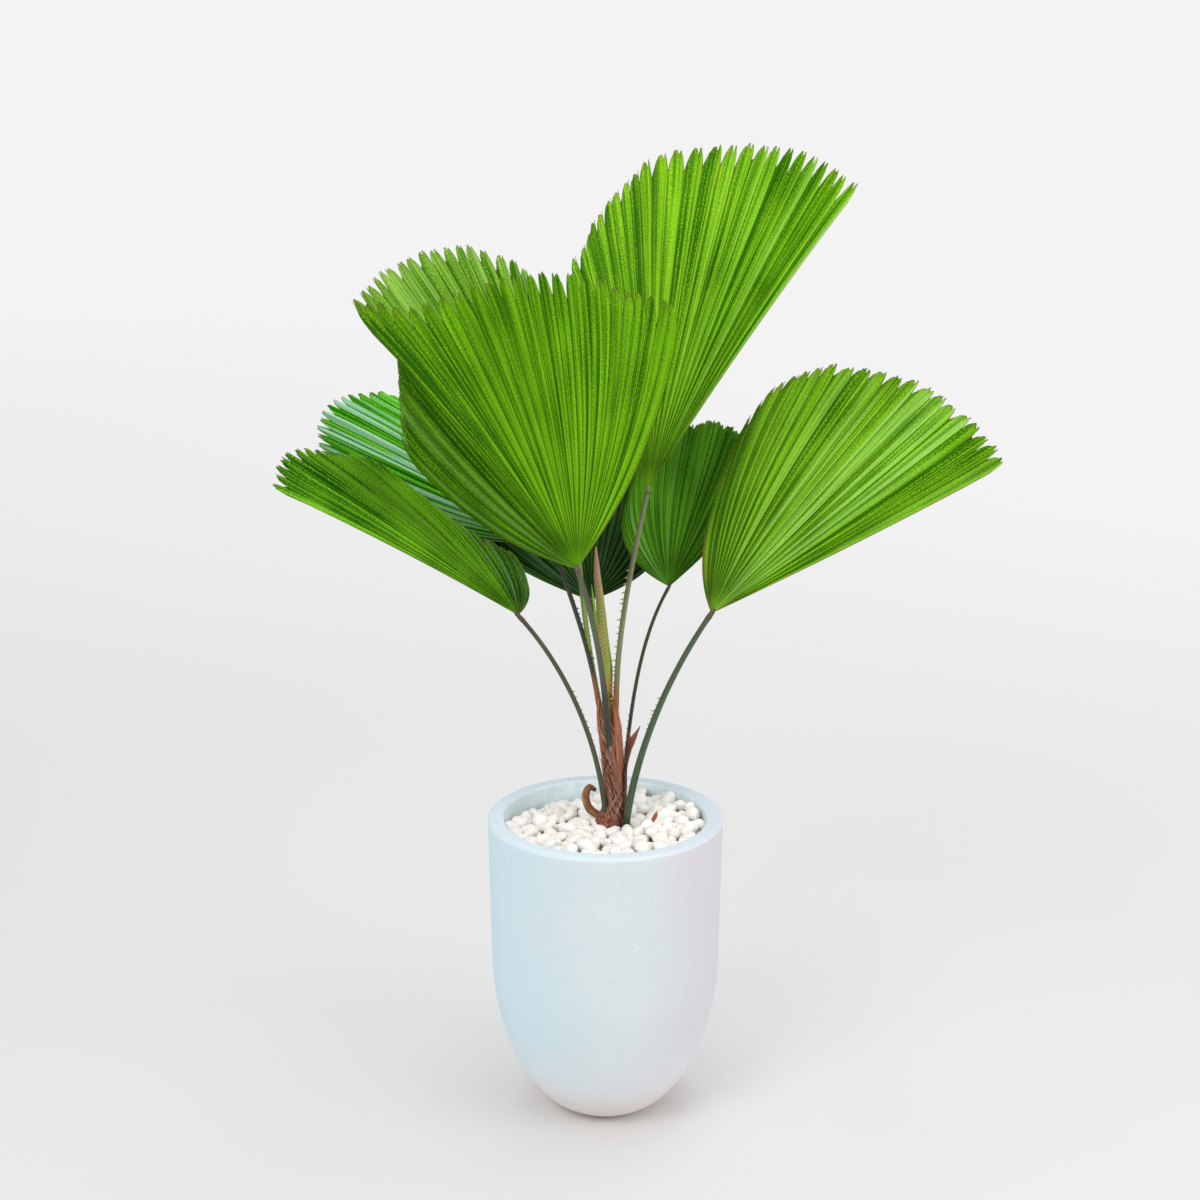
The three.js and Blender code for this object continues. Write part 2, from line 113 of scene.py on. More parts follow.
# Each blade is a fan of ribs [heading, rise, length], spaced evenly across its segments. Bow curves
# the two edges sideways, the more sharply the higher its third number, and arch lifts the middle, all
# as shares of the ribs' length. Notch is how deep the edge is cut between two segments. Pleats gives
# the depth of the folds over the fan, as a share of a segment's width. A petiole leaves the trunk at
# its foot [heading round the trunk, height] and arrives at the hastula, the way leave and arrive say
# [heading, rise]. Thorns stand on both its margins [from share, to share of the petiole, length].
LEAVES = {
    "upper_right": {
        "hastula": (70, 50, 1068), "segments": 25, "notch": 42, "bow": (-0.011, 0.05, 3), "arch": 0.02,
        "ribs": [
            (11.3, 54.3, 604), (17, 63, 603), (36, 71, 588), (86, 72, 562), (105, 58, 541), (109, 42, 534),
        ],
        "foot": (-40, 704), "leave": (110, 87), "arrive": (0, 78), "radii": (5.2, 4.4),
        "pleats": (0.34, 0.30, 0.20, 0.15, 0.16),
        "thorns": (0.06, 0.64, 6.5), "seed": 1,
    },
    "front": {
        "hastula": (-45, -110, 970), "segments": 34, "notch": 42, "bow": (0.15, 0.14, 5), "arch": 0.02,
        "ribs": [
            (18, 68, 435), (-40, 78, 445), (-104, 74, 480), (-128, 66, 490),
            (-147, 56, 496), (-173, 50.6, 526), (166, 48, 446), (153, 29, 365),
        ],
        "foot": (-103, 646), "leave": (-117, 83), "arrive": (-141, 68), "radii": (5.0, 3.8),
        "pleats": (0.17, 0.18, 0.20, 0.22, 0.26),
        "thorns": (0.1, 0.5, 3.4), "seed": 2,
    },
    "upper_left": {
        "hastula": (-50, 80, 1030), "segments": 17, "notch": 36, "bow": (0, 0.03, 3), "arch": 0.02,
        "ribs": [(164, 79, 401), (161, 64, 481), (165, 51, 511), (177, 43, 501)],
        "foot": (135, 692), "leave": (131, 70), "arrive": (110, 80), "radii": (4.5, 4),
        "pleats": (0.18, 0.22, 0.26),
        "thorns": (0.1, 0.5, 3.4), "seed": 3,
    },
    "right": {
        "hastula": (165, -120, 901), "segments": 24, "notch": 26, "bow": (0, 0.235, 3), "arch": 0.02,
        "ribs": [
            (-11, 29.3, 503), (-2, 40, 494), (12, 51, 474), (34, 60, 434), (60, 59, 389), (72, 53, 336),
        ],
        "foot": (-46, 489), "leave": (-60, 81), "arrive": (-40, 54), "radii": (6.5, 4.5),
        "pleats": (0.24, 0.20, 0.17, 0.16, 0.18),
        "thorns": (0.46, 0.61, 5.6), "seed": 4,
    },
    "back_right": {
        "hastula": (110, 140, 885), "segments": 18, "notch": 16, "bow": (0.02, 0.22, 3), "arch": 0.02,
        "ribs": [(7, 45, 225), (44, 55, 311), (73, 54, 327), (98, 50, 291), (119, 47, 202)],
        "foot": (20, 575), "leave": (73, 68), "arrive": (43, 48), "radii": (3.6, 3.2),
        "pleats": (0.26, 0.24, 0.28),
        "thorns": (0.15, 0.45, 2.6), "seed": 5,
    },
    "lower_left": {
        "hastula": (-139, -80, 888), "segments": 22, "notch": 28, "bow": (0, 0.15, 3), "arch": 0.02,
        "ribs": [
            (-161, 31, 442), (-167, 37, 449), (-178, 43, 392), (158, 43, 318), (122, 34, 188), (96, 24, 178),
        ],
        "foot": (-137, 534), "leave": (-109, 77), "arrive": (-158, 49), "radii": (4.5, 4),
        "pleats": (0.20, 0.22, 0.26, 0.30),
        "thorns": (0.3, 0.6, 4.0), "seed": 6,
    },
    "left": {
        "hastula": (-90, 110, 970), "segments": 22, "notch": 28, "bow": (0.06, 0.05, 3), "arch": 0.05,
        "ribs": [(170, 8, 305), (169, 19, 430), (164, 27, 464), (153, 32, 437), (132, 29, 380)],
        "foot": (167, 704), "leave": (125, 79), "arrive": (141, 67), "radii": (5, 4),
        "pleats": (0.28, 0.30, 0.26),
        "thorns": (0.28, 0.66, 4.2), "seed": 7,
    },
    "back": {
        "hastula": (-25, 120, 865), "segments": 22, "notch": 24, "bow": (0.1, 0.1, 3), "arch": 0.04,
        "ribs": [(150, 23, 305), (120, 32, 410), (94, 31, 465), (76, 25, 410), (59, 15, 290)],
        "foot": (92, 640), "leave": (91, 74), "arrive": (122, 62), "radii": (5, 4),
        "pleats": (0.26, 0.24, 0.26),
        "thorns": (0.15, 0.6, 3.4), "seed": 8,
    },
}

# Across one segment, from notch to notch: the place, and how deep the edge is cut there as a share
# of the notch. Each tooth ends in two lobes with a small cleft between them.
TOOTH = [
    (-1.0, 1.0), (-0.86, 0.70), (-0.7, 0.42), (-0.55, 0.21), (-0.42, 0.08), (-0.3, 0.01), (-0.17, 0.02),
    (0.0, 0.22), (0.17, 0.02), (0.3, 0.01), (0.42, 0.08), (0.55, 0.21), (0.7, 0.42), (0.86, 0.70),
]

# What all blades share, with places along a rib as shares of its length
BLADE_THICKNESS = 1.0
BLADE_START = 0.006
BLADE_ROWS = 50
MARGIN_START = 0.78
MARGIN_ROWS = 14
TIP_START = 0.82
TIP_CURL = 5
TIP_LEAN = 2
RUFFLE = 6

# How far a petiole's foot is sunk into the trunk's side, how many points its line has, and the least
# and most between two thorns
PETIOLE_SINK = 3
PETIOLE_POINTS = 56
THORN_SPACING = (6, 14)

# Free strips through stations [x, y, z, half width]: the dry sheaths, one of them with a fork
SHEATHS = {
    "sheath_dry": {
        "stations": [
            (30, 11, 556, 1.2), (34.5, 12, 598, 2), (39, 12, 626, 3.4), (45, 12, 648, 5.2),
            (58, 10, 675, 0.4),
        ],
        "facing": (0.3, -1, 0.1), "curl": 0.5, "rough": 0.1, "seed": 51,
        "skin": "dry", "slot": "sheath", "node": "dry_sheath",
    },
    "sheath_dry_fork": {
        "stations": [
            (31, 12, 560, 1.2), (35, 13, 600, 2), (38, 13, 632, 4.2), (40, 12, 650, 3.6),
            (40, 11, 666, 0.4),
        ],
        "facing": (0.3, -1, 0.1), "curl": 0.5, "rough": 0.1, "seed": 51,
        "skin": "dry", "slot": "sheath", "node": "dry_sheath",
    },
    "sheath_curled": {
        "stations": [
            (-3, 3, 515, 6), (-26, 0, 532, 7), (-33, -4, 556, 6.5), (-27, -4, 572, 5.5), (-16, -2, 566, 3),
        ],
        "facing": (0.3, -1, 0.35), "curl": 0.4, "rough": 0.05, "seed": 52,
        "skin": "curled", "slot": "sheath", "node": "curled_sheath",
    },
}

# Strips round the trunk through stations [heading, height, half width, stand-off]: torn leaf bases,
# and flat nets of fibre between them
WRAPS = {
    "base_front": {
        "skin": "orange", "curl": 0.34, "seed": 10, "stations": [
            (-55, 552, 3.0, 0.8), (-54, 590, 4.6, 1.4), (-52, 630, 6.0, 2.0), (-50, 672, 7.0, 2.6),
            (-45, 706, 6.6, 2.8), (-40, 724, 5.6, 2.6),
        ],
    },
    "base_left": {
        "skin": "orange", "curl": 0.34, "seed": 9, "stations": [
            (-138, 636, 4.0, 0.6), (-150, 668, 5.0, 2.2), (-162, 700, 5.2, 4.4), (-168, 726, 4.4, 5.6),
        ],
    },
    "net_edge": {
        "skin": "brown", "curl": 0.12, "seed": 8, "stations": [
            (-60, 556, 3.0, 1.8), (-70, 592, 3.0, 2.6), (-82, 626, 2.6, 3.4), (-106, 652, 2.4, 4.0),
            (-140, 676, 0.5, 3.6),
        ],
    },
    "net_tip": {
        "skin": "tan", "curl": 0.12, "seed": 7, "stations": [
            (-90, 644, 1.6, 4.6), (-106, 656, 2.6, 5.0), (-128, 668, 2.4, 4.8), (-152, 684, 0.3, 4.0),
        ],
    },
    "net_left": {
        "skin": "brown", "curl": 0.12, "seed": 8, "stations": [
            (-112, 548, 5.0, 0.4), (-128, 586, 5.0, 0.8), (-148, 622, 4.0, 1.6), (-172, 652, 0.6, 2.4),
        ],
    },
    "base_right": {
        "skin": "dark", "curl": 0.34, "seed": 10, "stations": [
            (-26, 520, 6.0, 0.4), (-20, 560, 7.0, 3.0), (-12, 600, 6.4, 5.0), (-4, 645, 3.0, 9.0),
        ],
    },
}

# Two small bits, as strips like the sheaths: a green sliver that splits off the unopened leaf, and a
# dry chip that stands in the pebbles
BITS = {
    "green_sliver": {
        "stations": [(-14, -5, 846, 0.6), (-17, -7, 872, 1.8), (-20, -8, 898, 1.8), (-23, -8, 922, 0.3)],
        "facing": (0, -1, 0), "curl": 0.5, "rough": 0.0, "seed": 0,
        "skin": "green", "slot": "spear", "node": "spear_leaf",
    },
    "dry_chip": {
        "stations": [(76, -20, 514, 0.8), (80, -20, 520, 3.2), (84, -20, 528, 3.4), (86, -19, 535, 0.4)],
        "facing": (-0.3, -1, 0.5), "curl": 0.4, "rough": 0.05, "seed": 0,
        "skin": "chip", "slot": "pebbles", "node": "pebble_bed",
    },
}

# What the strips share
STRIP_THICKNESS = 1.2
STRIP_COLUMNS = 8
WRAP_THICKNESS = 1.0
WRAP_ROUGH = 0.08


# Vectors and curves
def unit(vectors):
    """Each vector at length one."""
    return vectors / np.maximum(np.linalg.norm(vectors, axis=-1, keepdims=True), 1e-9)


def direction(heading, rise=0.0):
    """The direction with a heading and a rise in degrees, single or as arrays."""
    h, r = np.radians(heading), np.radians(rise)
    level = np.cos(r)
    return np.stack(np.broadcast_arrays(level * np.cos(h), level * np.sin(h), np.sin(r)), -1)


def through(points, share):
    """Places on one smooth curve through evenly spaced points, with share going from 0 to 1."""
    points = np.asarray(points, float)
    if points.ndim == 1:
        points = points[:, None]
    ends = np.vstack([2 * points[0] - points[1], points, 2 * points[-1] - points[-2]])
    steps = len(points) - 1
    place = np.clip(share, 0, 1) * steps
    index = np.minimum(place.astype(int), steps - 1)
    t = (place - index)[..., None]
    a, b, c, d = (ends[index + k] for k in range(4))
    return b + 0.5 * t * ((c - a) + t * ((2 * a - 5 * b + 4 * c - d) + t * (3 * b - a - 3 * c + d)))


def smooth_step(values, low, high):
    """0 below low, 1 above high, and an easy rise between."""
    t = np.clip((values - low) / (high - low), 0, 1)
    return t * t * (3 - 2 * t)


def whole_turn(count):
    """Evenly spaced angles once round."""
    return np.linspace(0, 2 * np.pi, count, endpoint=False)


def side_frames(line, facing):
    """For the points of a line: the side way and the face way, square to it and to each other."""
    along = unit(np.gradient(line, axis=0))
    side = unit(np.cross(along, facing))
    return side, np.cross(side, along)


# Meshes from arrays
def ring_faces(rings, around):
    """Quads over points numbered ring by ring, with each ring joined round."""
    number = np.arange(rings * around).reshape(rings, around)
    number = np.hstack([number, number[:, :1]])
    corners = [number[:-1, :-1], number[:-1, 1:], number[1:, 1:], number[1:, :-1]]
    return np.stack(corners, -1).reshape(-1, 4)


def tube_faces(rings, around):
    """The faces of a tube of rings, closed by one face over each end."""
    ends = [list(range(around))[::-1], list(range((rings - 1) * around, rings * around))]
    return ring_faces(rings, around).tolist() + ends


def shell_faces(columns, rows):
    """Quads of a grid's two layers, the second turned over, and of the wall round their edge."""
    count = columns * rows
    number = np.arange(count).reshape(columns, rows)
    corners = [number[:-1, :-1], number[1:, :-1], number[1:, 1:], number[:-1, 1:]]
    front = np.stack(corners, -1).reshape(-1, 4)
    edge = np.concatenate([number[:-1, 0], number[-1, :-1], number[:0:-1, -1], number[0, :0:-1]])
    after = np.roll(edge, -1)
    wall = np.stack([after, edge, edge + count, after + count], -1)
    return np.concatenate([front, front[:, ::-1] + count, wall])


def object_from(name, points, faces, marks=None):
    """A smooth object from points in metres and faces, with marks as named values on its points."""
    mesh = bpy.data.meshes.new(name)
    mesh.from_pydata(np.asarray(points, float).tolist(), [], faces)
    add_marks(mesh, marks or {})
    mesh.polygons.foreach_set("use_smooth", np.ones(len(mesh.polygons), bool))
    mesh.update()
    return linked(name, mesh)


def linked(name, mesh):
    """An object in the scene that shows a mesh."""
    piece = bpy.data.objects.new(name, mesh)
    bpy.context.scene.collection.objects.link(piece)
    return piece


def add_marks(mesh, marks):
    """Named values on a mesh's points."""
    for name, values in marks.items():
        values = np.asarray(values, np.float32)
        if values.ndim == 1:
            mesh.attributes.new(name, "FLOAT", "POINT").data.foreach_set("value", values)
        else:
            mesh.attributes.new(name, "FLOAT_VECTOR", "POINT").data.foreach_set("vector", values.ravel())


def finish_piece(piece, finish, node):
    """Gives a piece its finish, its body and the solid that it replaces."""
    piece.data.materials.clear()
    piece.data.materials.append(finish)
    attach(piece, BODY)
    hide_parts(node)


# Node trees
class Wire:
    """A node's output in an expression: arithmetic on it adds Math nodes."""

    def __init__(self, net, socket):
        self.net = net
        self.socket = socket

    def __add__(self, other):
        return self.net.math("ADD", self, other)

    def __radd__(self, other):
        return self.net.math("ADD", other, self)

    def __sub__(self, other):
        return self.net.math("SUBTRACT", self, other)

    def __rsub__(self, other):
        return self.net.math("SUBTRACT", other, self)

    def __mul__(self, other):
        return self.net.math("MULTIPLY", self, other)

    def __rmul__(self, other):
        return self.net.math("MULTIPLY", other, self)

    def __truediv__(self, other):
        return self.net.math("DIVIDE", self, other)

    def __rtruediv__(self, other):
        return self.net.math("DIVIDE", other, self)


class Net:
    """Adds nodes to a tree, and gives each one's output as a Wire."""

    def __init__(self, tree):
        self.tree = tree

    def node(self, kind, settings=None, values=None, out=0):
        """A node of a kind, with its settings, then its sockets' values or links."""
        node = self.tree.nodes.new(kind)
        for key, value in (settings or {}).items():
            if key == "stops":
                set_stops(node.color_ramp, value)
            else:
                setattr(node, key, value)
        for key, value in (values or {}).items():
            self.plug(node.inputs[key], value)
        return Wire(self, node.outputs[out]) if node.outputs else None

    def plug(self, socket, value):
        """Links a wire to a socket, or sets the socket's own value."""
        if isinstance(value, Wire):
            self.tree.links.new(value.socket, socket)
        else:
            socket.default_value = value

    def math(self, operation, *values):
        """Maths on numbers."""
        return self.node("ShaderNodeMath", {"operation": operation}, dict(enumerate(values)))

    def low(self, a, b):
        """The lower of two values."""
        return self.math("MINIMUM", a, b)

    def high(self, a, b):
        """The higher of two values."""
        return self.math("MAXIMUM", a, b)

    def vector(self, operation, *values, scale=None):
        """Vector maths, for places and ways."""
        sockets = dict(enumerate(values))
        if scale is not None:
            sockets["Scale"] = scale
        return self.node("ShaderNodeVectorMath", {"operation": operation}, sockets)

    def split(self, vector):
        """The three parts of a vector."""
        first = self.node("ShaderNodeSeparateXYZ", values={0: vector})
        return [self.twin(first, k) for k in range(3)]

    def join(self, x, y, z):
        """A vector from its three parts."""
        return self.node("ShaderNodeCombineXYZ", values={0: x, 1: y, 2: z})

    def twin(self, wire, out):
        """Another output of the node that a wire comes from."""
        return Wire(self, wire.socket.node.outputs[out])


class Shader(Net):
    """A material's tree, with the patterns that the finishes share."""

    def __init__(self, name):
        self.material = bpy.data.materials.new(name)
        self.material.use_nodes = True
        super().__init__(self.material.node_tree)
        self.tree.nodes.clear()

    def place(self):
        """The place in the object, in metres."""
        return self.node("ShaderNodeTexCoord", out="Object")

    def mark(self, name):
        """A named value on the mesh's points, as a vector."""
        return self.node("ShaderNodeAttribute", {"attribute_name": name}, out="Vector")

    def number(self, name):
        """A named value on the mesh's points, as a number."""
        return self.node("ShaderNodeAttribute", {"attribute_name": name}, out="Fac")

    def noise(self, place, scale, detail=3.0):
        """Soft random values round a half."""
        values = {"Vector": place, "Scale": scale, "Detail": detail, "Roughness": 0.55}
        return self.node("ShaderNodeTexNoise", values=values)

    def spots(self, place, scale):
        """The distance to the nearest of many scattered points."""
        return self.node("ShaderNodeTexVoronoi", values={"Vector": place, "Scale": scale})

    def step(self, value, low, high):
        """0 below low, 1 above high, and an easy rise between; the other way round if low is higher."""
        values = {"Value": value, "From Min": low, "From Max": high}
        return self.node("ShaderNodeMapRange", {"interpolation_type": "SMOOTHSTEP"}, values)

    def mix(self, share, first, second):
        """A colour between two, by a share."""
        values = {0: share, 6: first, 7: second}
        return self.node("ShaderNodeMix", {"data_type": "RGBA", "clamp_factor": True}, values, out=2)

    def along(self, share, amounts):
        """A value that passes evenly through some amounts, up to 2, as a share goes from 0 to 1."""
        places = np.linspace(0, 1, len(amounts))
        stops = [(place, (amount / 2, amount / 2, amount / 2, 1)) for place, amount in zip(places, amounts)]
        ramp = self.node("ShaderNodeValToRGB", {"stops": stops}, {0: share})
        return ramp * 2.0

    def bump(self, height, strength, distance):
        """A normal for fine relief."""
        values = {"Height": height, "Strength": strength, "Distance": distance}
        return self.node("ShaderNodeBump", values=values, out="Normal")

    def surface(self, colour, roughness, normal, specular=0.5):
        """Ends the tree in one surface shader, and gives the material."""
        shader = self.node("ShaderNodeBsdfPrincipled", values={
            "Base Color": colour, "Roughness": roughness, "Normal": normal, "Specular IOR Level": specular,
        })
        self.node("ShaderNodeOutputMaterial", values={"Surface": shader})
        return self.material


def set_stops(ramp, stops):
    """Gives a colour ramp its stops [place, colour]."""
    while len(ramp.elements) < len(stops):
        ramp.elements.new(1.0)
    for element, (place, colour) in zip(ramp.elements, stops):
        element.position = place
        element.color = colour


def paint(red, green, blue):
    """A colour for a shader, from its three values as seen on a screen, 0 to 255."""
    values = (c / 255 for c in (red, green, blue))
    return (*(v / 12.92 if v <= 0.04045 else ((v + 0.055) / 1.055) ** 2.4 for v in values), 1.0)


class Maker(Net):
    """A tree for a Geometry Nodes modifier, with named inputs [name, socket type, value]."""

    def __init__(self, name, inputs):
        super().__init__(bpy.data.node_groups.new(name, "GeometryNodeTree"))
        sockets = self.tree.interface
        sockets.new_socket("Geometry", in_out="INPUT", socket_type="NodeSocketGeometry")
        for label, kind, value in inputs:
            socket = sockets.new_socket(label, in_out="INPUT", socket_type=kind)
            if value is not None:
                socket.default_value = value
        sockets.new_socket("Geometry", in_out="OUTPUT", socket_type="NodeSocketGeometry")

    def input(self, name):
        """One of the tree's own inputs."""
        return self.node("NodeGroupInput", out=name)

    def named(self, name, kind="FLOAT"):
        """A named value on the points."""
        return self.node("GeometryNodeInputNamedAttribute", {"data_type": kind}, {"Name": name})

    def keep(self, geometry, name, value, kind):
        """The geometry with a named value on its points."""
        values = {"Geometry": geometry, "Name": name, "Value": value}
        return self.node("GeometryNodeStoreNamedAttribute", {"data_type": kind}, values)

    def ends(self, parts):
        """Joins the parts, makes them real, gives them the finish and ends the tree."""
        joined = self.node("GeometryNodeJoinGeometry")
        for part in reversed(parts):
            self.tree.links.new(part.socket, joined.socket.node.inputs["Geometry"])
        real = self.node("GeometryNodeRealizeInstances", values={"Geometry": joined})
        done = self.node("GeometryNodeSetMaterial",
                         values={"Geometry": real, "Material": self.input("Finish")})
        output = self.tree.nodes.new("NodeGroupOutput")
        self.tree.links.new(done.socket, output.inputs["Geometry"])
        return self.tree


def made_by(tree, name, points, edges, marks, settings):
    """A piece of plain mesh that a tree makes of points in millimetres, their edges and their marks."""
    start = bpy.data.meshes.new(name)
    start.from_pydata((points * MM).tolist(), edges, [])
    add_marks(start, marks)
    piece = linked(name, start)
    modifier = piece.modifiers.new("maker", "NODES")
    modifier.node_group = tree
    for item in tree.interface.items_tree:
        if item.in_out == "INPUT" and item.name in settings:
            modifier[item.identifier] = settings[item.name]
    bpy.context.view_layer.update()
    graph = bpy.context.evaluated_depsgraph_get()
    mesh = bpy.data.meshes.new_from_object(piece.evaluated_get(graph))
    piece.modifiers.remove(modifier)
    piece.data = mesh
    mesh.name = piece.name
    return piece


# Blades
def fan_frame(leaf, across):
    """For places over a fan: the rib's direction and length, the side way, the normal, the pitch."""
    ribs = np.array(leaf["ribs"], float)
    ways = direction(ribs[:, 0], ribs[:, 1])
    step = 1e-3
    before, after = np.maximum(across - step, 0), np.minimum(across + step, 1)
    way = unit(through(ways, across))
    length = through(ribs[:, 2], across)[:, 0] * MM
    turn = unit(through(ways, after)) - unit(through(ways, before))
    pitch = np.linalg.norm(turn, axis=1) / (after - before) / leaf["segments"] * length
    side = unit(turn - way * np.sum(turn * way, axis=1, keepdims=True))
    return way, length, side, np.cross(side, way), pitch


def wander(rng, across, waves, most):
    """A smooth random value over a fan: slow waves of 1 to most turns each."""
    total = np.zeros_like(across)
    for _ in range(waves):
        turns, phase = rng.uniform(1.0, most), rng.uniform(0, 2 * np.pi)
        total += np.sin(2 * np.pi * turns * across + phase)
    return total / waves


def tooth_columns(leaf, rng):
    """Places over the fan in segments, and how far the edge is cut back there, in millimetres."""
    segments = leaf["segments"]
    local = np.array([x for x, _ in TOOTH])
    depth = np.array([cut for _, cut in TOOTH])
    place = (np.arange(segments)[:, None] + 0.5 + local / 2).ravel()
    notch = leaf["notch"] * rng.uniform(0.75, 1.12, (segments, 1))
    cleft = np.where(local == 0, rng.uniform(0.7, 1.3, (segments, 1)), 1.0)
    uneven = rng.uniform(0, 5, (segments, len(TOOTH))) * (depth < 0.3)
    short = rng.uniform(0, 5, (segments, 1))
    cut = (notch * depth * cleft + uneven + short).ravel()
    return np.append(place, segments), np.append(cut, leaf["notch"])


def blade_rows(margin):
    """Places along each rib, as shares of its length, that close up towards the cut edge."""
    inner = np.linspace(BLADE_START, MARGIN_START, BLADE_ROWS)
    outer = np.linspace(0, 1, MARGIN_ROWS + 1)[1:]
    return np.concatenate([
        np.broadcast_to(inner, (len(margin), BLADE_ROWS)),
        MARGIN_START + (margin[:, None] - MARGIN_START) * outer,
    ], axis=1)


def pleat_heights(leaf, place, pitch):
    """How far the blade is folded up or down over the fan, which is most at the segments' middles."""
    local = 2 * (place % 1) - 1
    fold = 0.7 * (1 - 2 * np.abs(local)) + 0.3 * np.cos(np.pi * local)
    return through(leaf["pleats"], place / leaf["segments"])[:, 0] * pitch * fold


def blade(name, leaf):
    """One pleated blade: two layers over the fan, closed round the toothed edge."""
    rng = np.random.default_rng(leaf["seed"])
    place, cut = tooth_columns(leaf, rng)
    across = place / leaf["segments"]
    way, length, side, normal, pitch = fan_frame(leaf, across)
    margin = 1 - cut * MM / length
    along = blade_rows(margin)
    run = along * length[:, None]
    pleat = pleat_heights(leaf, place, pitch)
    deeper = 1.3 - 0.3 * along
    segment = np.minimum(place.astype(int), leaf["segments"] - 1)
    curl = rng.uniform(-1, 1, leaf["segments"])[segment] * TIP_CURL * MM
    lean = rng.uniform(-1, 1, leaf["segments"])[segment] * TIP_LEAN * MM
    tip = np.maximum(along - TIP_START, 0) / (1 - TIP_START)
    ruffle = wander(rng, across, waves=3, most=5) * RUFFLE * MM

    swell = 4 * along * (1 - along) * length[:, None]
    first, last, power = leaf["bow"]
    bend = last * across ** power - first * (1 - across) ** power
    lift = leaf["arch"] * swell + pleat[:, None] * along * deeper
    lift = lift + ruffle[:, None] * along ** 2 + curl[:, None] * tip ** 2
    points = np.array(leaf["hastula"]) * MM + way[:, None] * run[..., None]
    points = points + side[:, None] * (bend[:, None] * swell + lean[:, None] * tip ** 2)[..., None]
    points = points + normal[:, None] * lift[..., None]

    half = normal[:, None] * BLADE_THICKNESS * MM / 2
    layers = np.concatenate([(points + half).reshape(-1, 3), (points - half).reshape(-1, 3)])
    tone = rng.uniform(0, 1, leaf["segments"])[segment]
    fan = np.stack(np.broadcast_arrays(place[:, None], run, tone[:, None]), -1)
    rim = (margin[:, None] - along) * length[:, None]
    marks = {
        "fan": np.concatenate([fan.reshape(-1, 3)] * 2),
        "rim": np.concatenate([rim.ravel()] * 2),
        "under": np.repeat([0, 1], rim.size),
    }
    return object_from(name, layers, shell_faces(*along.shape).tolist(), marks)


# Petioles
def trunk_at(height):
    """The trunk's middle and radius at a height in millimetres."""
    table = np.array(TRUNK, float)
    middle = [np.interp(height, table[:, 2], table[:, k]) for k in (0, 1)]
    return np.array([*middle, height]), np.interp(height, table[:, 2], table[:, 3])


def petiole_curve(leaf, share):
    """Places along a petiole from the trunk's side to its hastula, in millimetres."""
    heading, height = leaf["foot"]
    middle, radius = trunk_at(height)
    start = middle + direction(heading) * (radius + leaf["radii"][0] - PETIOLE_SINK)
    end = np.array(leaf["hastula"], float)
    pull = np.linalg.norm(end - start) / 3
    leave = direction(*leaf["leave"]) * pull
    arrive = direction(*leaf["arrive"]) * pull
    controls = [start, start + leave, end - arrive, end]
    t = share[:, None]
    weights = [(1 - t) ** 3, 3 * t * (1 - t) ** 2, 3 * t * t * (1 - t), t ** 3]
    return sum(w * c for w, c in zip(weights, controls))


def thorn_rows(leaf, facing_heading, rng):
    """The thorns' feet, the ways they point and their lengths, in millimetres."""
    feet, ways, sizes = [], [], []
    low, high, size = leaf["thorns"]
    reach = np.linalg.norm(np.diff(petiole_curve(leaf, np.array([0.0, 1.0])), axis=0))
    for margin in (-1, 1):
        share = low + rng.uniform(0, 0.02)
        while share < high:
            line = petiole_curve(leaf, np.array([share - 0.01, share, share + 0.01]))
            along = unit(line[2] - line[0])
            face = direction(facing_heading, 40)
            face = unit(face - along * (face @ along))
            side = np.cross(along, face) * margin
            radius = leaf["radii"][0] + (leaf["radii"][1] - leaf["radii"][0]) * share
            feet.append(line[1] + face * radius * 0.62 + side * radius * 0.72)
            ways.append(unit(face * 0.85 + side * 0.5 + along * rng.uniform(-0.55, 0.1)))
            sizes.append(size * rng.uniform(0.55, 1.15))
            share += rng.uniform(*THORN_SPACING) / reach
    return np.array(feet), np.array(ways), np.array(sizes)


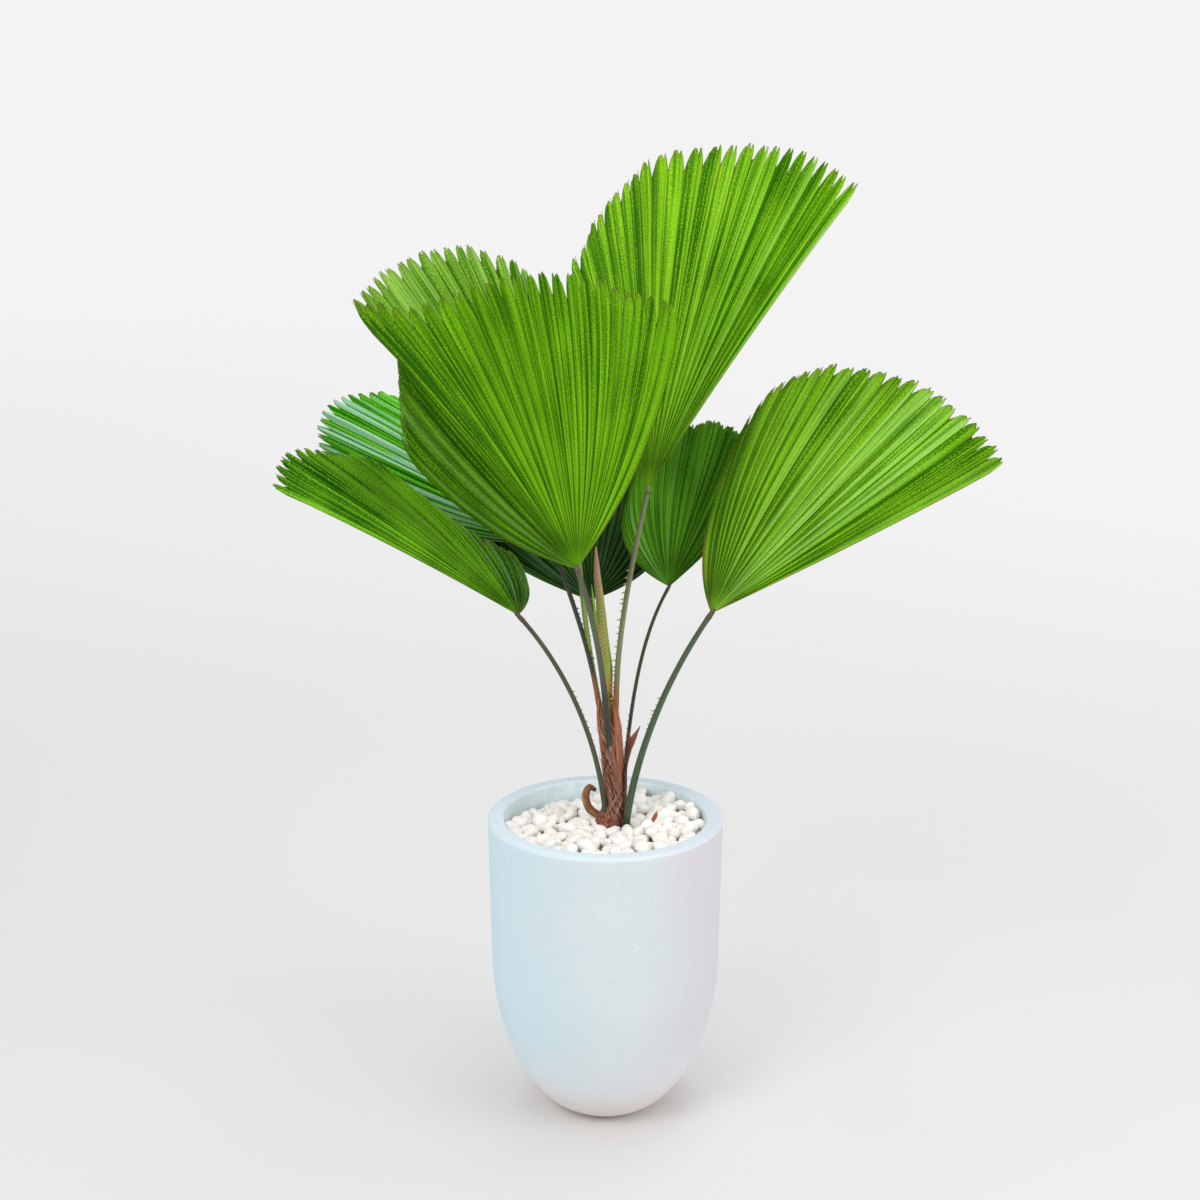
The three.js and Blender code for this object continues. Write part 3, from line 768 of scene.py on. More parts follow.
def stalk_tree():
    """Sweeps a stalk along a line's points, and sets a thorn on each loose point beside it."""
    net = Maker("stalk_with_thorns", [
        ("Sides", "NodeSocketInt", 16),
        ("Channel depth", "NodeSocketFloat", 0.3),
        ("Widening", "NodeSocketFloat", 1.1),
        ("Thorn sides", "NodeSocketInt", 5),
        ("Finish", "NodeSocketMaterial", None),
    ])
    is_thorn = net.math("GREATER_THAN", net.named("thorn"), 0.5)
    parts = {"Geometry": net.input("Geometry"), "Selection": is_thorn}
    thorn_points = net.node("GeometryNodeSeparateGeometry", values=parts)
    line = net.twin(thorn_points, "Inverted")
    line = net.node("GeometryNodeMeshToCurve", values={"Mesh": line})
    line = net.node("GeometryNodeSetCurveNormal", {"mode": "FREE"},
                    {"Curve": line, "Normal": net.named("facing", "FLOAT_VECTOR")})

    ring = net.node("GeometryNodeCurvePrimitiveCircle",
                    values={"Resolution": net.input("Sides"), "Radius": 1.0})
    x, y, _ = net.split(net.node("GeometryNodeInputPosition"))
    sunk = net.high(x - 0.35, 0.0) * net.input("Channel depth") * 2.0
    wider = y * (net.input("Widening") - 1.0)
    ring = net.node("GeometryNodeSetPosition", values={
        "Geometry": ring, "Offset": net.join(0.1 - sunk, wider, 0.0),
    })
    ring = net.keep(ring, "round", net.join(x, y, 0.0), "FLOAT_VECTOR")
    stalk = net.node("GeometryNodeCurveToMesh", values={
        "Curve": line, "Profile Curve": ring, "Scale": net.named("thick"), "Fill Caps": True,
    })
    stalk = net.node("GeometryNodeSetShadeSmooth", values={"Geometry": stalk})

    thorn = net.node("GeometryNodeMeshCone", values={
        "Vertices": net.input("Thorn sides"), "Radius Top": 0.0, "Radius Bottom": 0.5, "Depth": 1.0,
    })
    height = net.split(net.node("GeometryNodeInputPosition"))[2]
    thorn = net.keep(thorn, "tip", height, "FLOAT")
    turn = net.node("FunctionNodeAlignRotationToVector", {"axis": "Z"},
                    {"Vector": net.named("facing", "FLOAT_VECTOR")})
    size = net.named("thick")
    thorns = net.node("GeometryNodeInstanceOnPoints", values={
        "Points": thorn_points, "Instance": thorn, "Rotation": turn,
        "Scale": net.join(size * 0.7, size * 0.7, size),
    })
    return net.ends([stalk, thorns])


def stalk_line(leaf):
    """A petiole's line and its radius there, in millimetres, from inside the trunk into the blade.

    It swells and closes over three last points inside the blade. Its root runs down the trunk below
    its foot, but no lower than the trunk's cut.
    """
    share = np.linspace(0, 1, PETIOLE_POINTS)
    line = petiole_curve(leaf, share)
    low, high = leaf["radii"]
    radius = low + (high - low) * share
    ribs = np.array(leaf["ribs"], float)
    into = unit(direction(ribs[:, 0], ribs[:, 1]).mean(0))
    line = np.vstack([line, line[-1] + into * np.array([3.0, 6.0, 10.0])[:, None]])
    radius[:3] *= (0.66, 0.86, 0.96)
    radius[-3:-1] *= (1.04, 1.16)
    radius = np.append(radius, high * np.array([1.02, 0.75, 0.2]))
    heading, height = leaf["foot"]
    below = np.array([44.0, 32.0, 20.0, 10.0])
    below = below[height - below > TRUNK[0][2]]
    root = []
    for drop in below:
        middle, wide = trunk_at(height - drop)
        root.append(middle + direction(heading) * (wide + low - PETIOLE_SINK - 0.3 * drop))
    if root:
        line = np.vstack([root, line])
        radius = np.append(low * (0.55 - 0.006 * below), radius)
    return line, radius


def stalk(name, leaf, tree, finish):
    """One petiole with its thorns, its channel turned to the trunk."""
    rng = np.random.default_rng(leaf["seed"] + 40)
    line, radius = stalk_line(leaf)
    heading, _ = leaf["foot"]
    along = unit(np.gradient(line, axis=0))
    facing = direction(heading + 180, 40)
    facing = unit(facing - along * np.sum(facing * along, axis=1, keepdims=True))
    run = np.append(0, np.cumsum(np.linalg.norm(np.diff(line, axis=0), axis=1))) * MM

    feet, ways, sizes = thorn_rows(leaf, heading + 180, rng)
    edges = [(k, k + 1) for k in range(len(line) - 1)]
    marks = {
        "thick": np.append(radius, sizes) * MM,
        "facing": np.vstack([facing, ways]),
        "thorn": np.append(np.zeros(len(line)), np.ones(len(feet))),
        "run": np.append(run, np.ones(len(feet))),
        "rest": np.append(run[-4] - run, np.ones(len(feet))),
    }
    return made_by(tree, name, np.vstack([line, feet]), edges, marks, {"Finish": finish})


# Strips: the sheaths, the wraps and the bits
def ribbon(name, stations, facing, curl, rough, seed, thickness=STRIP_THICKNESS):
    """A strip along stations [x, y, z, half width], curled across, closed all round."""
    rng = np.random.default_rng(seed)
    across = STRIP_COLUMNS
    rows = 8 * len(stations)
    share = np.linspace(0, 1, rows)
    smooth = through(np.array(stations, float), share)
    line, half = smooth[:, :3], np.maximum(smooth[:, 3], 0.15)
    side, face = side_frames(line, unit(through(np.array(facing, float), share)))
    place = np.linspace(-1, 1, across)
    ragged = 1 + rough * rng.uniform(-1, 1, (rows, 1))
    out = curl * (1 - place[None, :] ** 2) * half[:, None]
    out = out + rough * 2 * rng.uniform(-1, 1, (rows, across))
    width = place[None, :] * half[:, None] * ragged
    points = line[:, None] + side[:, None] * width[..., None] + face[:, None] * out[..., None]
    points = points.transpose(1, 0, 2)
    lift = face[None, :] * thickness / 2
    layers = np.concatenate([(points + lift).reshape(-1, 3), (points - lift).reshape(-1, 3)]) * MM
    run = np.broadcast_to(np.linspace(0, 1, rows), (across, rows)).ravel()
    wide = np.broadcast_to(place[:, None], (across, rows)).ravel()
    strip = np.stack([wide, run, np.zeros_like(run)], 1)
    marks = {"strip": np.vstack([strip, strip])}
    return object_from(name, layers, shell_faces(across, rows).tolist(), marks)


def wrap(name, stations, curl, seed):
    """A strip round the trunk through stations [heading, height, half width, stand-off]."""
    places, ways = [], []
    for heading, height, half, off in stations:
        middle, radius = trunk_at(height)
        way = direction(heading)
        places.append((*(middle + way * (radius + off)), half))
        ways.append(way)
    return ribbon(name, places, ways, curl, WRAP_ROUGH, seed, WRAP_THICKNESS)


# Trunk
def oblique_ridges(rng, angle, height, slope, count, finest):
    """Fine ridges that climb round a stem at a slope, even all the way round."""
    total = np.zeros_like(angle + height)
    for _ in range(count):
        number = rng.integers(6, finest)
        phase = rng.uniform(0, 2 * np.pi)
        total += np.sin(number * (angle + slope * rng.uniform(0.7, 1.3) * height) + phase)
    return total / np.sqrt(count)


def wrapped_bases(angle, z, radius):
    """The relief of the leaf bases round the trunk, and the number of the one that shows."""
    base = np.zeros_like(angle + z)
    owner = np.zeros_like(base)
    for number, (heading, top, turn, wide, rise) in enumerate(LEAF_BASES, 1):
        below = np.maximum(top - z, 0)
        centre = np.radians(heading + turn * smooth_step(below, 0, BARK["turn_run"]))
        gap = np.abs((angle - centre + np.pi) % (2 * np.pi) - np.pi) * radius[:, None]
        half = wide + below * BARK["widening"]
        cover = np.where(z < top, 1 - (gap / half) ** 4, -1)
        height_over = rise * np.clip(cover, 0, 1) ** 0.5 * np.exp(-below / BARK["sink_run"])
        owner = np.where(height_over > base, number, owner)
        base = np.maximum(base, height_over)
    return base, owner


def foot_flare(rng, angle, z):
    """The ridged swelling at the trunk's foot, larger on one side."""
    spread = np.exp(-((z - BARK["flare_height"]) / BARK["flare_spread"]) ** 2)
    one_side = np.cos(angle - math.radians(BARK["flare_heading"]))
    flare = spread * (BARK["flare"] + BARK["flare_more"] * one_side)
    return flare + spread * oblique_ridges(rng, angle, z, slope=0.02, count=10, finest=30) * 0.9


def trunk_piece():
    """The trunk: overlapping leaf bases, fibre ridges and a flare at its foot."""
    rng = np.random.default_rng(11)
    around, rows = 144, 260
    stations = np.array(TRUNK, float)
    smooth = through(stations, np.linspace(0, 1, rows))
    middle, height, radius = smooth[:, :2], smooth[:, 2], smooth[:, 3]
    angle = whole_turn(around)[None, :]
    z = height[:, None]

    left = oblique_ridges(rng, angle, z, slope=0.016, count=26, finest=46)
    right = oblique_ridges(rng, angle, z, slope=-0.012, count=18, finest=38)
    rough = 0.45 * np.where(left > right * 0.8, left, right)
    base, owner = wrapped_bases(angle, z, radius)
    fade = smooth_step(z, *BARK["relief_end"])
    smoother = np.where(owner == 1, 0.35, 1.0)
    flare = foot_flare(rng, angle, z)
    reach = radius[:, None] - 1.6 + base * fade + rough * (0.4 + 0.6 * fade) * smoother + flare
    reach = np.maximum(reach, 2)

    ring = np.stack([np.cos(angle), np.sin(angle)], -1)
    level = np.broadcast_to(z[..., None], (rows, around, 1))
    points = np.concatenate([middle[:, None] + ring * reach[..., None], level], -1)
    turned = angle + 0.016 * z
    fibre = np.stack(np.broadcast_arrays(np.cos(turned) * 16, np.sin(turned) * 16, z * 0.16), -1)
    marks = {
        "fibre": fibre.reshape(-1, 3) * MM,
        "owner": owner.ravel(),
        "raised": (base + rough).ravel(),
    }
    return object_from("trunk_bark", points.reshape(-1, 3) * MM, tube_faces(rows, around), marks)


def strand_tree():
    """Sweeps a thin tapering strand along each line of a mesh."""
    net = Maker("strands", [
        ("Sides", "NodeSocketInt", 4),
        ("Finish", "NodeSocketMaterial", None),
    ])
    line = net.node("GeometryNodeMeshToCurve", values={"Mesh": net.input("Geometry")})
    ring = net.node("GeometryNodeCurvePrimitiveCircle",
                    values={"Resolution": net.input("Sides"), "Radius": 1.0})
    strands = net.node("GeometryNodeCurveToMesh", values={
        "Curve": line, "Profile Curve": ring, "Scale": net.named("thick"), "Fill Caps": True,
    })
    strands = net.node("GeometryNodeSetShadeSmooth", values={"Geometry": strands})
    return net.ends([strands])


def trunk_strands(tree, finish):
    """Loose fibres that wind over the trunk, with their free ends standing off a little."""
    rng = np.random.default_rng(12)
    points, edges, thick, tone = [], [], [], []
    steps = FIBRES["steps"]
    for _ in range(FIBRES["count"]):
        bottom = rng.uniform(*FIBRES["bottom"])
        length = rng.uniform(*FIBRES["length"])
        turn = rng.choice([1, -1], p=[0.72, 0.28]) * rng.uniform(*FIBRES["slant"])
        start = rng.uniform(0, 2 * np.pi)
        loose = rng.uniform(0, 1) ** 3 * FIBRES["stand_off"]
        shade = rng.uniform(0, 1)
        width = rng.uniform(*FIBRES["radius"])
        for step in range(steps):
            share = step / (steps - 1)
            height = bottom + length * share
            middle, radius = trunk_at(height)
            off = radius + 1.3 + loose * share ** 3 + rng.uniform(-0.4, 0.6)
            angle = start - turn * length * share
            points.append(middle + np.array([math.cos(angle), math.sin(angle), 0]) * off)
            thick.append(width * (1 - 0.8 * share ** 2) * min(1, 0.3 + 4 * share))
            tone.append(shade)
            if step:
                edges.append((len(points) - 2, len(points) - 1))
    marks = {"thick": np.array(thick) * MM, "tone": np.array(tone)}
    return made_by(tree, "trunk_fibres", np.array(points), edges, marks, {"Finish": finish})


# Unopened leaf
def spear_piece():
    """The folded leaf on the tip: a slim spindle of pleats, twisting a little."""
    around, rows = 48, 180
    smooth = through(np.array(SPEAR, float), np.linspace(0, 1, rows))
    line, radius = smooth[:, :3], np.maximum(smooth[:, 3], 0.3)
    side, face = side_frames(line, direction(-90))
    angle = whole_turn(around)[None, :]
    run = np.linspace(0, 1, rows)[:, None]
    pleats = 0.07 * np.cos(8 * angle + 5 * run) + 0.035 * np.cos(16 * angle - 9 * run)
    reach = radius[:, None] * (1 + pleats * smooth_step(run, 0.1, 0.4))
    flat = 0.82
    points = line[:, None] + side[:, None] * (np.cos(angle) * reach)[..., None]
    points = points - face[:, None] * (np.sin(angle) * reach * flat)[..., None]
    height = np.broadcast_to(line[:, 2:3] * MM, (rows, around))
    strip = np.stack(np.broadcast_arrays(angle / (2 * np.pi), height, run), -1).reshape(-1, 3)
    return object_from("spear_bud", points.reshape(-1, 3) * MM, tube_faces(rows, around), {"strip": strip})


# Pot
def pot_profile():
    """The pot's wall as points [radius, height]: up the outside, over the rim, down the inside."""
    bowl = np.radians(np.linspace(0, 90, 40))
    power = 2 / POT["fullness"]

    def curve(low_radius, top_radius, low, high):
        out = np.sin(bowl) ** power
        up = 1 - np.cos(bowl) ** power
        return np.stack([low_radius + (top_radius - low_radius) * out, low + (high - low) * up], 1)

    height, rim, body = POT["height"], POT["rim_radius"], POT["body_radius"]
    rounding, wall, bowl_height = POT["rim_rounding"], POT["wall"], POT["bowl_height"]
    top = height - rounding
    outside = curve(POT["foot_radius"], body, 0, bowl_height)
    outside[0] += (-POT["foot_rounding"], 0)
    side = np.linspace(bowl_height, top, 14)[1:]
    outer_wall = np.stack([np.interp(side, (bowl_height, height), (body, rim)), side], 1)
    turn = np.radians(np.linspace(0, 90, 7))[1:]
    outer_rim = np.stack([rim - rounding + rounding * np.cos(turn), top + rounding * np.sin(turn)], 1)
    inner_edge = rim - wall
    inner_rim = [inner_edge + rounding - rounding * np.sin(turn), top + rounding * np.cos(turn)]
    inner_rim = np.stack(inner_rim, 1)
    down = np.linspace(top, bowl_height, 16)[1:]
    inner_wall = np.stack([np.interp(down, (bowl_height, height), (body - wall, inner_edge)), down], 1)
    floor_radius = POT["foot_radius"] - POT["floor_inset"]
    inside = curve(floor_radius, body - wall, POT["floor"], bowl_height)[-2::-1]
    lip = [(inner_edge + rounding, height)]
    return np.vstack([outside, outer_wall, outer_rim, lip, inner_rim, inner_wall, inside])


def pot_piece():
    """The pot: its profile turned once round, closed by its flat foot and its flat floor."""
    around = POT["around"]
    profile = pot_profile() * MM
    angle = whole_turn(around)
    ring = np.stack([np.cos(angle), np.sin(angle)], -1)
    rows = len(profile)
    points = np.empty((rows, around, 3))
    points[..., :2] = ring * profile[:, None, :1]
    points[..., 2] = profile[:, None, 1]
    return object_from("pot_wall", points.reshape(-1, 3), tube_faces(rows, around))


# Pebbles
def bed_level(x, y):
    """The pebbles' top level in millimetres, falling towards the back left."""
    way = direction(BED["fall_heading"])
    return BED["level"] - BED["fall"] * smooth_step(x * way[0] + y * way[1], *BED["fall_run"])


def rest_pebbles(rng):
    """Pebbles laid one by one where they rest lowest, each one nested a little into those below.

    Gives [x, y, z, radius at rest, length] for each, in millimetres.
    """
    laid = np.zeros((0, 5))
    bottom = BED["level"] - BED["depth"]
    small, large = BED["stones"]
    tries = 60
    nest, settle = 0.93, 0.8
    for _ in range(BED["most"]):
        size = small + (large - small) * rng.uniform() ** 1.5
        ball = size * BED["ball"]
        reach = BED["radius"] - ball * 0.8
        spot = np.sqrt(rng.uniform(0, 1, tries)) * reach
        heading = rng.uniform(0, 2 * np.pi, tries)
        x, y = spot * np.cos(heading), spot * np.sin(heading)
        away = np.hypot(x - TRUNK[0][0], y - TRUNK[0][1]) > TRUNK[1][3] + ball * 0.55
        away &= np.hypot(x - BED["stem"][0], y - BED["stem"][1]) > BED["stem"][2] + ball * 0.6
        x, y = x[away], y[away]
        rest = np.full(len(x), bottom + ball)
        if len(laid):
            gap = (x[:, None] - laid[:, 0]) ** 2 + (y[:, None] - laid[:, 1]) ** 2
            over = ((ball + laid[:, 3]) * nest) ** 2 - gap
            stacked = laid[:, 2] + np.sqrt(np.maximum(over, 0)) * settle
            rest = np.maximum(rest, np.where(over > 0, stacked, 0).max(1))
        room = bed_level(x, y) - rest - ball * 0.6
        best = np.argmax(room)
        if room[best] < 0:
            continue
        laid = np.vstack([laid, (x[best], y[best], rest[best], ball, size)])
    return laid


def pebble_tree():
    """Sets a pebble on each point: a round one, made lumpy, then sized and turned."""
    net = Maker("pebbles", [
        ("Detail", "NodeSocketInt", 3),
        ("Lump height", "NodeSocketFloat", 0.01),
        ("Lump scale", "NodeSocketFloat", 62.0),
        ("Finish", "NodeSocketMaterial", None),
    ])
    ball = net.node("GeometryNodeMeshIcoSphere", values={"Radius": 0.5, "Subdivisions": net.input("Detail")})
    turn = net.node("FunctionNodeEulerToRotation", values={"Euler": net.named("turn", "FLOAT_VECTOR")})
    stones = net.node("GeometryNodeInstanceOnPoints", values={
        "Points": net.input("Geometry"), "Instance": ball, "Rotation": turn,
        "Scale": net.named("size", "FLOAT_VECTOR"),
    })
    stones = net.node("GeometryNodeRealizeInstances", values={"Geometry": stones})
    here = net.node("GeometryNodeInputPosition")
    shifted = net.vector("ADD", here, net.named("drift", "FLOAT_VECTOR"))
    values = {"Vector": shifted, "Scale": net.input("Lump scale"), "Detail": 1.0}
    lump = net.node("ShaderNodeTexNoise", values=values, out=1)
    push = net.vector("SUBTRACT", lump, (0.5, 0.5, 0.5))
    push = net.vector("SCALE", push, scale=net.input("Lump height"))
    stones = net.node("GeometryNodeSetPosition", values={"Geometry": stones, "Offset": push})
    stones = net.node("GeometryNodeSetShadeSmooth", values={"Geometry": stones})
    return net.ends([stones])


def pebble_piece(name, laid, detail, rng, tree, finish):
    """Laid pebbles as one piece, each flatter than long, tilted a little and turned any way."""
    count = len(laid)
    long = np.full(count, 1.06)
    wide = rng.uniform(0.68, 0.88, count)
    flat = rng.uniform(0.56, 0.74, count)
    tilt = np.radians(34)
    pitch = rng.uniform(-tilt, tilt, count)
    roll = rng.uniform(-tilt, tilt, count)
    heading = rng.uniform(0, 2 * np.pi, count)
    marks = {
        "size": laid[:, 4:5] * np.stack([long, wide, flat], 1) * MM,
        "turn": np.stack([pitch, roll, heading], 1),
        "drift": rng.uniform(0, 5, (count, 3)),
        "middle": laid[:, :3] * MM,
        "tone": rng.uniform(0, 1, count),
    }
    return made_by(tree, name, laid[:, :3], [], marks, {"Detail": detail, "Finish": finish})


def soil_piece():
    """The dark potting mix that shows between the pebbles: a low bumpy disc."""
    rng = np.random.default_rng(31)
    around, rows = 96, 30
    beyond, skirt_depth = 13, 25
    radius = np.linspace(0, BED["radius"] + beyond, rows)[:, None]
    angle = whole_turn(around)[None, :]
    x, y = radius * np.cos(angle), radius * np.sin(angle)
    bumps = np.zeros_like(x)
    for _ in range(14):
        way, wave = rng.uniform(0, 2 * np.pi), rng.uniform(0.08, 0.4)
        bumps += np.sin(wave * (x * math.cos(way) + y * math.sin(way)) + rng.uniform(0, 6))
    top = bed_level(x, y) - BED["soil_below"] + bumps * 0.7
    points = np.stack([x, y, top], -1)[1:]
    skirt = points[-1:].copy()
    skirt[..., 2] -= skirt_depth
    points = np.concatenate([points, skirt])
    faces = [face[::-1] for face in tube_faces(len(points), around)]
    return object_from("soil_mix", points.reshape(-1, 3) * MM, faces)


# Finishes, with all colours as they look on a screen

# A blade's greens from dark to light, and the tint of its silvery sheen, a painted reflection. Flank is
# how far the two sides of a fold differ, as painted light on one and painted shade on the other, cloud
# how strong its broad patches are, hem how brown its two outer edges, and under how pale its underside.
# Shade paints light and shade over the fan, and silver gives the share of painted sheen, from its first rib
# to its last.
FOLIAGE = {
    "upper_right": {
        "dark": (48, 116, 0), "light": (156, 220, 26), "flank": 0.5, "cloud": 0.8,
        "hem": 0.75, "under": 0.15, "sheen": (172, 216, 112),
        "shade": (1.20, 1.18, 1.13, 1.07, 1.06, 1.07, 1.10, 1.12),
        "silver": (0.8, 0.55, 0.25, 0.1, 0.0, 0.0, 0.0, 0.1),
    },
    "front": {
        "dark": (42, 108, 0), "light": (136, 208, 6), "flank": 0.36, "cloud": 0.8,
        "hem": 0.15, "under": 0.15, "sheen": (140, 196, 130),
        "shade": (0.92, 0.94, 0.96, 0.96, 0.95, 0.96, 0.97, 0.98, 0.98, 0.86, 0.60, 0.95),
        "silver": (0, 0, 0, 0, 0, 0, 0, 0, 0, 0, 0.15, 0.9),
    },
    "upper_left": {
        "dark": (60, 128, 0), "light": (176, 230, 80), "flank": 0.75, "cloud": 0.8,
        "hem": 0.0, "under": 0.15, "sheen": (196, 230, 160),
        "shade": (1.12, 1.15, 1.05, 1.0, 0.62), "silver": (0.4, 0.3, 0.25, 0.2, 0.1),
    },
    "right": {
        "dark": (48, 106, 0), "light": (142, 208, 18), "flank": 0.24, "cloud": 1.0,
        "hem": 0.7, "under": 0.15, "sheen": (176, 222, 122),
        "shade": (0.96, 1.22, 1.13, 0.96, 0.87, 0.79, 0.72, 0.68),
        "silver": (0.15, 0.5, 0.7, 0.45, 0.1, 0.0, 0.0, 0.0),
    },
    "back_right": {
        "dark": (10, 74, 0), "light": (92, 168, 8), "flank": 0.4, "cloud": 0.8,
        "hem": 0.1, "under": 0.3, "sheen": (128, 178, 140),
        "shade": (0.6, 0.85, 1.0, 1.04, 1.0, 0.95), "silver": (0.0, 0.0, 0.05, 0.1, 0.5, 0.9),
    },
    "lower_left": {
        "dark": (26, 88, 0), "light": (122, 192, 30), "flank": 0.5, "cloud": 1.8,
        "hem": 0.2, "under": 0.15, "sheen": (130, 186, 140),
        "shade": (1.14, 1.1, 0.85, 0.63, 0.62, 0.9, 0.9, 0.44, 0.46, 0.45),
        "silver": (0, 0, 0, 0, 0, 0, 0, 0.3, 1.0, 0.9),
    },
    "left": {
        "dark": (18, 112, 0), "light": (108, 200, 30), "flank": 0.5, "cloud": 0.8,
        "hem": 0.1, "under": 0.2, "sheen": (176, 222, 196),
        "shade": (0.45, 0.72, 1.02, 1.12, 1.14, 1.1), "silver": (0.2, 0.6, 1.0, 0.8, 0.25, 0.2),
    },
    # This leaf's greens are darkened to paint the shade it stands in behind the others.
    "back": {
        "dark": (14, 44, 4), "light": (54, 94, 32), "flank": 0.25, "cloud": 0.8,
        "hem": 0.0, "under": 0.6, "sheen": (110, 146, 112),
        "shade": (1.1, 1.0, 0.85, 0.75, 0.7), "silver": (0.4, 0.2, 0.0, 0.0, 0.0),
    },
}

# A petiole's skin from dark to body, its foot and how far up that reaches in metres, and its thorns
STALKS = {
    "upper_right": {
        "body": (158, 166, 128), "dark": (84, 100, 60), "foot": (176, 112, 72), "horn": (206, 190, 110),
        "foot_run": 0.10,
    },
    "front": {
        "body": (116, 122, 92), "dark": (44, 54, 40), "foot": (66, 74, 60), "horn": (150, 120, 70),
        "foot_run": 0.20,
    },
    "upper_left": {
        "body": (150, 178, 96), "dark": (84, 116, 48), "foot": (130, 96, 60), "horn": (170, 160, 90),
        "foot_run": 0.06,
    },
    "right": {
        "body": (94, 124, 92), "dark": (32, 54, 34), "foot": (52, 60, 38), "horn": (190, 170, 96),
        "foot_run": 0.05,
    },
    "back_right": {
        "body": (78, 92, 54), "dark": (30, 40, 20), "foot": (58, 24, 22), "horn": (90, 70, 50),
        "foot_run": 0.10,
    },
    "lower_left": {
        "body": (98, 104, 80), "dark": (38, 46, 36), "foot": (58, 66, 48), "horn": (120, 92, 60),
        "foot_run": 0.05,
    },
    "left": {
        "body": (56, 84, 68), "dark": (18, 32, 26), "foot": (170, 112, 66), "horn": (60, 56, 46),
        "foot_run": 0.12,
    },
    "back": {
        "body": (60, 72, 44), "dark": (30, 38, 22), "foot": (120, 84, 54), "horn": (90, 70, 50),
        "foot_run": 0.10,
    },
}

# The leaf bases that stand out from the others, by number: [share, dark, light]
BASE_TINTS = {
    1: (0.85, (172, 90, 54), (216, 140, 96)),
    6: (0.85, (36, 14, 14), (100, 52, 46)),
    8: (0.6, (126, 78, 50), (214, 166, 120)),
}

# The skins of the strips [dark, light, far end]
SKINS = {
    "dry": ((74, 32, 28), (168, 106, 84), (156, 96, 72)),
    "curled": ((92, 50, 28), (190, 138, 92), (52, 26, 18)),
    "tan": ((120, 74, 52), (218, 176, 138), (196, 150, 112)),
    "brown": ((78, 36, 30), (196, 142, 118), (150, 98, 76)),
    "orange": ((136, 66, 44), (206, 132, 96), (176, 104, 62)),
    "dark": ((40, 16, 16), (104, 58, 50), (60, 30, 28)),
    "green": ((84, 132, 20), (160, 196, 72), (120, 180, 40)),
    "chip": ((120, 62, 28), (196, 122, 70), (150, 84, 40)),
}


def segment_spread(leaf):
    """A segment's width as a share of the distance from the hastula, the mean over the fan."""
    ribs = np.array(leaf["ribs"], float)
    pitch = fan_frame(leaf, np.linspace(0.05, 0.95, 40))[4].mean()
    return pitch / (ribs[:, 2].mean() * MM)


def leaf_grain(net, place, run, tone):
    """Fine veins and broader bands along the ribs, and a short grain across them."""
    veins = net.step(net.noise(net.join(place * 7.5, run * 3.5, tone * 9.0), 1.0), 0.36, 0.64)
    bands = net.step(net.noise(net.join(place * 2.3, run * 2.4, tone * 30.0), 1.0, detail=1.0), 0.36, 0.64)
    grain = net.step(net.noise(net.join(place * 16.0, run * 300.0, 0.0), 1.0, detail=1.0), 0.40, 0.62)
    return veins, bands, grain


def browned_rim(net, colour, rim, valley, cloud, veins):
    """Brown on a blade's toothed rim: dry patches, a thin edge, the notches and the points."""
    coats = [
        (net.step(rim, 0.014, 0.0) * net.step(cloud, 0.35, 0.60) * 0.4, (108, 112, 30)),
        (net.step(rim, 0.0024, 0.0006) * net.step(cloud, 0.30, 0.55) * 0.6, (84, 76, 30)),
        (net.step(valley, 0.0026, 0.0008) * net.step(rim, 0.0040, 0.0012) * 0.8, (62, 44, 22)),
        (net.step(rim, 0.0034, 0.0008) * net.step(veins, 0.3, 0.7) * 0.5, (98, 92, 52)),
    ]
    for share, tint in coats:
        colour = net.mix(share, colour, paint(*tint))
    return colour


